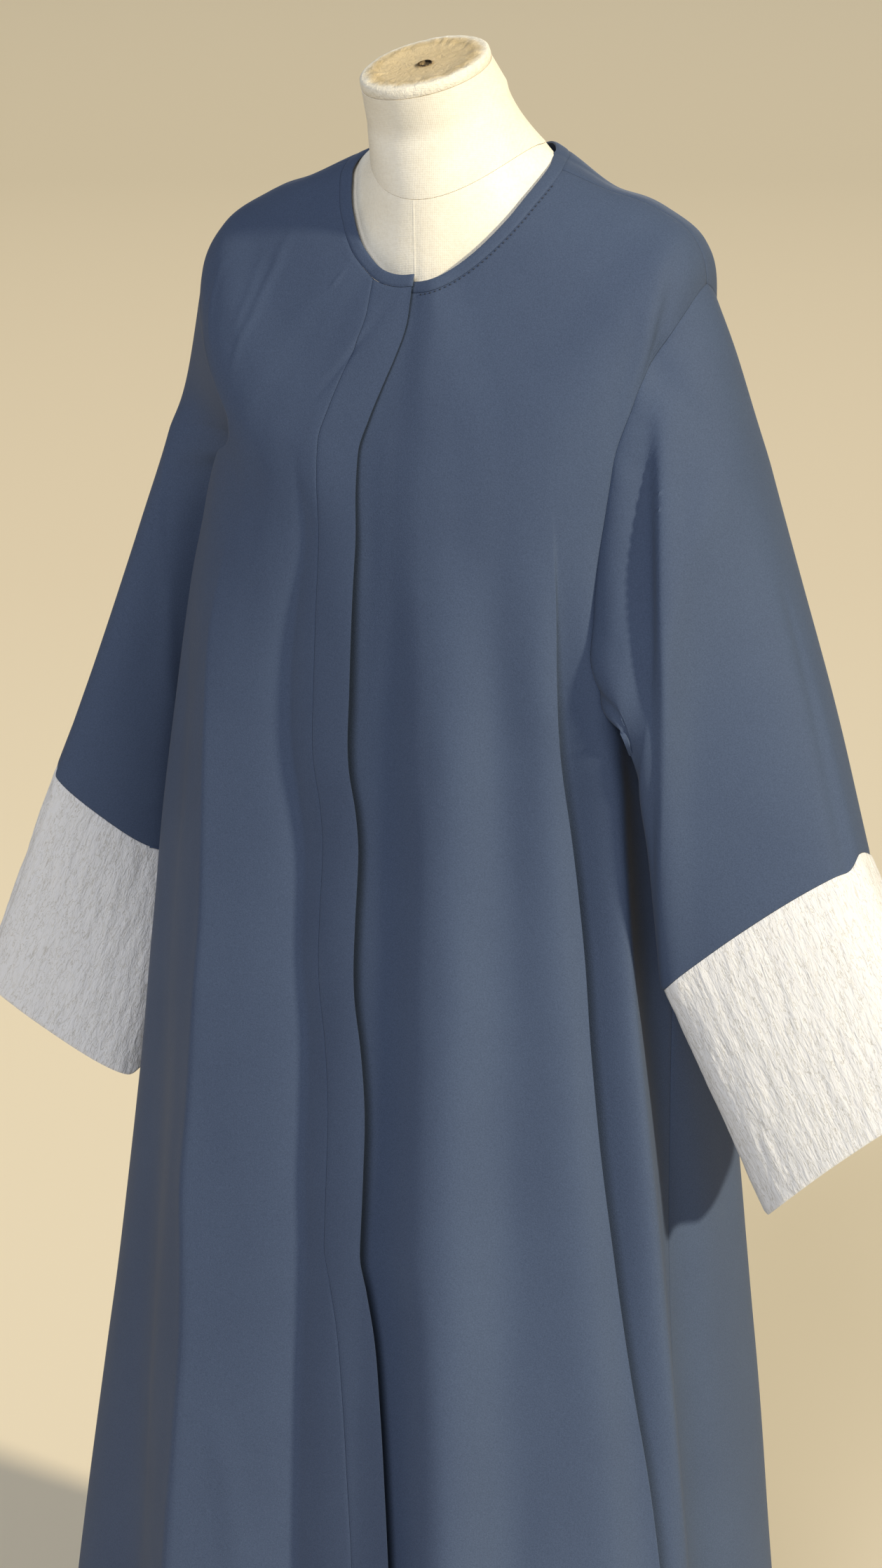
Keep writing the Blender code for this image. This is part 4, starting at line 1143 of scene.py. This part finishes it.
def crinkle(grid, side):
    """Crushed pleats of the cuff cloth: uneven creases that run mostly down the sleeve."""
    lean = math.radians(SLEEVE_LEAN)
    down = np.array([math.sin(lean) * side, 0, -math.cos(lean)])
    flat = grid.reshape(-1, 3)
    run = flat @ down
    across = flat - run[:, None] * down
    out = np.empty(len(flat))
    for i in range(len(flat)):
        x, y, z = across[i]
        s = run[i]
        a = noise.noise(Vector((x / 9, y / 9, z / 9 + s / 34)))
        b = noise.noise(Vector((x / 4.2 + 11, y / 4.2, z / 4.2 + s / 15)))
        out[i] = 0.75 * a + 0.45 * (0.5 - abs(b) * 1.6)
    border = border_distance(grid)
    calm = ease(border["top"] / 9) * (0.35 + 0.65 * ease(border["foot"] / 7))
    return out.reshape(grid.shape[:2]) * calm - 0.15


# ---------------------------------------------------------------- sewing


STITCH_LENGTH = 2.0
STITCH_RADIUS = 0.42
STITCH_PITCH = 4.4
STITCH_SINK = 0.05  # how far a stitch's middle is pulled into the cloth
# Rings of a stitch: places along its length, from -0.5 to 0.5, with shares of its radius.
STITCH_RINGS = ((-0.5, 0.35), (-0.3, 0.9), (0.0, 1.0), (0.3, 0.9), (0.5, 0.35))


def stitch_row(name, points, normals, finish):
    """Short stitches lying on the cloth: each is a bead with pointed, sunken ends."""
    verts, faces = [], []
    for k in range(len(points) - 1):
        p, n = points[k], unit(normals[k])
        d = unit(points[k + 1] - p)
        n = n - d * np.dot(n, d)
        side = np.cross(d, n)
        base = len(verts)
        for t, r in STITCH_RINGS:
            rise = STITCH_RADIUS * (0.75 - 2.4 * t * t) - STITCH_SINK
            middle = p + d * (t * STITCH_LENGTH) + n * rise
            for q in range(6):
                a = q * math.pi / 3
                out = side * math.cos(a) * 1.15 + n * math.sin(a)
                verts.append((middle + out * STITCH_RADIUS * r) * MM)
        for ring in range(4):
            for q in range(6):
                a, b = base + ring * 6 + q, base + ring * 6 + (q + 1) % 6
                faces.append((a, b, b + 6, a + 6))
        faces.append(tuple(base + q for q in range(5, -1, -1)))
        faces.append(tuple(base + 24 + q for q in range(6)))
    thing = new_piece(name, [tuple(v) for v in verts], faces, finish)
    pick(thing)
    bpy.ops.object.mode_set(mode="EDIT")
    bpy.ops.mesh.select_all(action="SELECT")
    bpy.ops.mesh.normals_make_consistent(inside=False)
    bpy.ops.object.mode_set(mode="OBJECT")
    smooth(thing, 60)
    return thing


def spaced(angles, levels, lifts, pitch):
    """Points every pitch millimetres along a line on the body cloth, with their normals."""
    line = body_point(angles, levels, lifts)
    run = run_along(line)
    at = np.arange(pitch, run[-1] - pitch, pitch)
    angle, level, lift = (np.interp(at, run, values) for values in (angles, levels, lifts))
    return body_point(angle, level, lift), body_normal(angle, level)


def make_stitches(thread):
    """Prick stitches just below the binding, from the lap round the wearer's left."""
    level = PANEL_TOP_LEVEL + 0.045
    first = float(lap_angle(np.array([level]))[0]) + 1.5
    angles = np.linspace(first, 76, 1500)
    levels = np.full(angles.shape, level)
    points, normals = spaced(angles, levels, under_drop(angles, levels), STITCH_PITCH)
    return stitch_row("neck_prick_stitches", points, normals, thread)


# ---------------------------------------------------------------- form and stand


def loft_mesh(name, loops, finish, degrees=40):
    """A solid through closed loops with a flat fan at each end."""
    grid = np.array(loops)
    rows, cols = grid.shape[:2]
    points = np.concatenate([grid.reshape(-1, 3), [grid[0].mean(axis=0)], [grid[-1].mean(axis=0)]]) * MM
    first, last = rows * cols, rows * cols + 1
    faces = []
    for i in range(rows - 1):
        for j in range(cols):
            a, b = i * cols + j, i * cols + (j + 1) % cols
            faces.append((a, a + cols, b + cols, b))
    for j in range(cols):
        k = (j + 1) % cols
        faces.append((first, j, k))
        faces.append((last, (rows - 1) * cols + k, (rows - 1) * cols + j))
    thing = new_piece(name, points.tolist(), faces, finish)
    smooth(thing, degrees)
    return thing


def tilted_loop(x, y, z, wide, deep, tilt, angles):
    """An oval loop that slopes down to the front and a little to the wearer's right."""
    turn, slope, lean = np.radians(angles), np.radians(tilt), np.radians(CAP_LEAN)
    ahead, across = -np.cos(turn) * deep, np.sin(turn) * wide
    rise = ahead * np.sin(slope) + across * np.sin(lean)
    return np.stack([x + across * np.cos(lean), y + ahead * np.cos(slope), z + rise], -1)


def form_shoulder(angles, level):
    """The form just under the cloth: it bears on the shoulders and stands clear before and behind."""
    levels = np.full(angles.shape, level)
    clear = FORM_GAP + FORM_STANDS_CLEAR * np.abs(np.cos(np.radians(angles))) ** 0.8
    depth = (CLOTH + clear)[:, None]
    rise, inward = neck_climb(angles, levels)
    under = body_point(angles, levels, inward) - body_normal(angles, levels) * depth
    under[:, 2] -= np.maximum(rise, 0)
    return under


def neck_flare(foot, top, share):
    """A loop part way up the neck, which draws in quickly from its foot."""
    loop = foot * (1 - share) + top * share
    in_by = 1 - (1 - share) ** NECK_FLARE
    loop[:, :2] = foot[:, :2] * (1 - in_by) + top[:, :2] * in_by
    return loop


def form_angles():
    """Even steps round the form, with lines close together where its front seam runs."""
    fine = np.array([-1.6, -1.1, -0.7, -0.4, -0.2, 0.0, 0.2, 0.4, 0.7, 1.1, 1.6])
    return np.concatenate([fine, np.arange(4, 358, 2.0)]) % 360


def make_form(linen, cap_linen, steel):
    """The form's torso, neck and cap, and its stand."""
    angles = form_angles()
    made = {}
    # The torso: a flat top under the neck, the shoulders under the cloth, and its own rings.
    top, first = ring_point(FORM_RINGS, angles, 0.0), form_shoulder(angles, 0.0)
    loops = [top * (1 - t) + first * t for t in (0.0, 0.04, 0.1, 0.2, 0.35, 0.5, 0.65, 0.8, 0.92)]
    for level in (0.0, 0.15, 0.3, 0.5, 0.65, 0.8, 1.0, 1.25, 1.5, 1.75, 2.0, 2.2, 2.4):
        loops.append(form_shoulder(angles, level))
    loops += [ring_point(FORM_RINGS, angles, level) for level in np.linspace(1, 8, 60)]
    front_seam = -0.2 * np.exp(-((wrap(angles) / 0.5) ** 2))
    for loop in loops[1:]:
        loop[:, 1] += front_seam
    made["form_torso"] = loft_mesh("form_torso_linen", loops, linen)
    # The neck: its flared foot, and the straight part up to the cap.
    foot = ring_point(FORM_RINGS, angles, 0.0) + np.array([0, 0, NECK_FOOT_GAP])
    low, high = (tilted_loop(*row, angles) for row in NECK)
    shares = (0.0, 0.015, 0.04, 0.08, 0.13, 0.19, 0.26, 0.34, 0.43, 0.53, 0.64, 0.76, 0.88, 1.0)
    loops = [neck_flare(foot, low, t) for t in shares]
    loops += [low * (1 - t) + high * t for t in (0.25, 0.5, 0.75, 0.93, 1.0)]
    made["form_neck"] = loft_mesh("form_neck_linen", loops[::-1], linen)
    made["form_neck_cap"] = make_cap(cap_linen)
    made["stand_pole"] = make_pole(steel)
    made["stand_base"] = make_base(steel)
    return made


def round_bar(name, radius, low, high, finish):
    """An upright round bar between two heights, with none of its faces selected."""
    bpy.ops.object.select_all(action="DESELECT")
    middle = (0, 0, (high + low) / 2 * MM)
    bpy.ops.mesh.primitive_cylinder_add(
        vertices=96, radius=radius * MM, depth=(high - low) * MM, location=middle
    )
    thing = bpy.context.active_object
    thing.name = name
    thing.data.name = name
    thing.data.materials.append(finish)
    bpy.ops.object.transform_apply(location=True, rotation=True, scale=True)
    bpy.ops.object.mode_set(mode="EDIT")
    bpy.ops.mesh.select_mode(type="FACE")
    bpy.ops.mesh.select_all(action="DESELECT")
    bpy.ops.object.mode_set(mode="OBJECT")
    return thing


def step_face(thing, low, high, steps):
    """Insets the level face between two heights, once for each step, and lifts what is inside."""
    for face in thing.data.polygons:
        face.select = low < face.center.z / MM < high and abs(face.normal.z) > 0.9
    bpy.ops.object.mode_set(mode="EDIT")
    for inset, lift in steps:
        bpy.ops.mesh.inset(thickness=inset * MM)
        bpy.ops.transform.translate(value=(0, 0, lift * MM))
    bpy.ops.object.mode_set(mode="OBJECT")


def round_rim(thing, width, segments, sharp):
    """Rounds off the edges that turn by more than this angle, and shades the rest smooth."""
    rim = thing.modifiers.new("rim", "BEVEL")
    rim.width = width * MM
    rim.segments = segments
    rim.limit_method = "ANGLE"
    rim.angle_limit = math.radians(sharp)
    bpy.ops.object.modifier_apply(modifier="rim")
    smooth(thing)


def make_pole(finish):
    """A steel tube with a plug pressed into its top and a rounded rim."""
    pole = round_bar("stand_pole_steel", POLE_RADIUS, BASE_THICK + 0.5, POLE_TOP_Z, finish)
    step_face(pole, POLE_TOP_Z - 0.4, POLE_TOP_Z + 0.6, ((1.6, -0.6), (0.8, 0.4)))
    round_rim(pole, 0.5, 2, 30)
    return pole


def make_base(finish):
    """A heavy steel disc: the rim is turned to a round and the plate swells to a boss at the pole."""
    base = round_bar("stand_base_steel", BASE_RADIUS, 0.0, BASE_THICK - 0.6, finish)
    step_face(base, BASE_THICK - 1, BASE_THICK, ((BASE_RADIUS - POLE_RADIUS - 22, 0.3), (14, 0.3)))
    round_rim(base, 4.0, 6, 60)
    return base


def make_cap(finish):
    """The neck's end plate under linen that is gathered and glued round its rim."""
    angles = np.arange(0, 360, 2.5)
    x, y, z, wide, deep, tilt = NECK[-1]
    slope, lean = np.radians(CAP_TILT), np.radians(CAP_LEAN)
    up = np.array([-np.sin(lean), -np.sin(slope), np.cos(slope)])
    rows = [(HOLE_RADIUS, HOLE_RADIUS, CAP_THICK - HOLE_DEEP), (HOLE_RADIUS, HOLE_RADIUS, CAP_THICK - 0.8)]
    for r in CAP_RINGS:
        sag = 2.0 * (1 - ease((r - 0.3) / 0.5)) - 0.5 * math.exp(-(((r - 0.8) / 0.1) ** 2))
        round_off = 1.6 * ease((r - 0.94) / 0.06) ** 1.5
        half_wide, half_deep = (HOLE_RADIUS + (rim - HOLE_RADIUS) * r for rim in (wide, deep))
        rows.append((half_wide, half_deep, CAP_THICK - sag - round_off))
    rows += [(wide, deep, CAP_THICK * 0.45), (wide, deep, CAP_THICK * 0.25), (wide * 0.99, deep * 0.99, 0.5)]
    loops = []
    for i, (half_wide, half_deep, lift) in enumerate(rows):
        r = half_wide / wide
        loop = tilted_loop(x, y, z, half_wide, half_deep, tilt, angles)
        pucker = np.zeros(len(angles))
        if 1 < i < len(rows) - 3:
            strong = math.exp(-(((r - 0.76) / 0.14) ** 2))
            for j, a in enumerate(np.radians(angles)):
                place = Vector((math.sin(a) * r * 4.2, math.cos(a) * r * 4.2, 3.0))
                spoke = Vector((math.sin(a) * 5.5, math.cos(a) * 5.5, r * 1.2))
                gathers = 1.5 * noise.noise(place * 1.6) + 1.5 * abs(noise.noise(spoke)) - 0.4
                pucker[j] = strong * gathers + 0.25 * noise.noise(place * 2)
        loops.append(loop + up * lift + up[None, :] * pucker[:, None])
    return loft_mesh("form_neck_cap_linen", loops, finish, 70)


# ---------------------------------------------------------------- stage


FLOOR_RADIUS = 70.0  # metres, far past the edge of the view


def make_stage():
    """The floor, a cool fill from the room, and daylight from the wearer's left, front and back."""
    bpy.ops.mesh.primitive_circle_add(vertices=96, radius=FLOOR_RADIUS, fill_type="TRIFAN")
    floor = bpy.context.active_object
    floor.name = "floor"
    floor.data.materials.append(pale_floor())
    world = bpy.data.worlds.new("soft_room_light")
    bpy.context.scene.world = world
    world.use_nodes = True
    back = world.node_tree.nodes["Background"]
    back.inputs["Color"].default_value = linear("#DCECFF")
    back.inputs["Strength"].default_value = 0.24
    # Each light's power, its width in degrees, its colour, and the direction it comes from, as
    # degrees round from the front towards the wearer's left and degrees up.
    for name, power, wide, colour, away, up in (
        ("window_light", 3.7, 4, "#FFF6DC", 76, 25),
        ("far_window_light", 1.75, 26, "#EEF3FF", 8, 28),
        ("back_window_light", 0.9, 30, "#F1F2F4", 200, 12),
    ):
        key = bpy.data.lights.new(name, "SUN")
        key.energy = power
        key.angle = math.radians(wide)
        key.color = linear(colour)[:3]
        lamp = bpy.data.objects.new(name, key)
        away, up = math.radians(away), math.radians(up)
        toward = Vector((math.sin(away) * math.cos(up), -math.cos(away) * math.cos(up), math.sin(up)))
        lamp.rotation_euler = toward.to_track_quat("Z", "Y").to_euler()
        bpy.context.scene.collection.objects.link(lamp)


def make_camera():
    """Three metres off to the front and the wearer's left, and a little above the form's neck."""
    lens = bpy.data.cameras.new("camera")
    lens.sensor_width = 36
    lens.lens = 85.33
    lens.clip_end = 300
    camera = bpy.data.objects.new("camera", lens)
    camera.location = (1.3016, -2.7030, 1.70)
    camera.rotation_euler = (math.radians(75.6), 0, math.radians(26))
    bpy.context.scene.collection.objects.link(camera)
    bpy.context.scene.camera = camera


bpy.context.scene.view_settings.view_transform = "Standard"
make_camera()
make_stage()
blue = crepe_cloth()
made = make_body(blue)
made["neck_binding"] = make_binding(blue)
for word, side, sleeve_rows, cuff_rows in (
    ("left", 1, SLEEVE_LEFT, CUFF_LEFT),
    ("right", -1, SLEEVE_RIGHT, CUFF_RIGHT),
):
    ivory = crinkle_cloth("crushed_ivory_" + word, side)
    made.update(make_sleeve(word, side, sleeve_rows, cuff_rows, blue, ivory))
linen = linen_cloth("cream_linen")[0]
cap_linen = worn_and_shaded_cap()
made.update(make_form(linen, cap_linen, painted_steel()))
for node, piece in made.items():
    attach(piece, "root")
    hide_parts(node)
stitches = make_stitches(sewing_thread("navy_thread", THREAD_NAVY_DARK, THREAD_NAVY))
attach(stitches, "root")
bpy.ops.object.select_all(action="DESELECT")
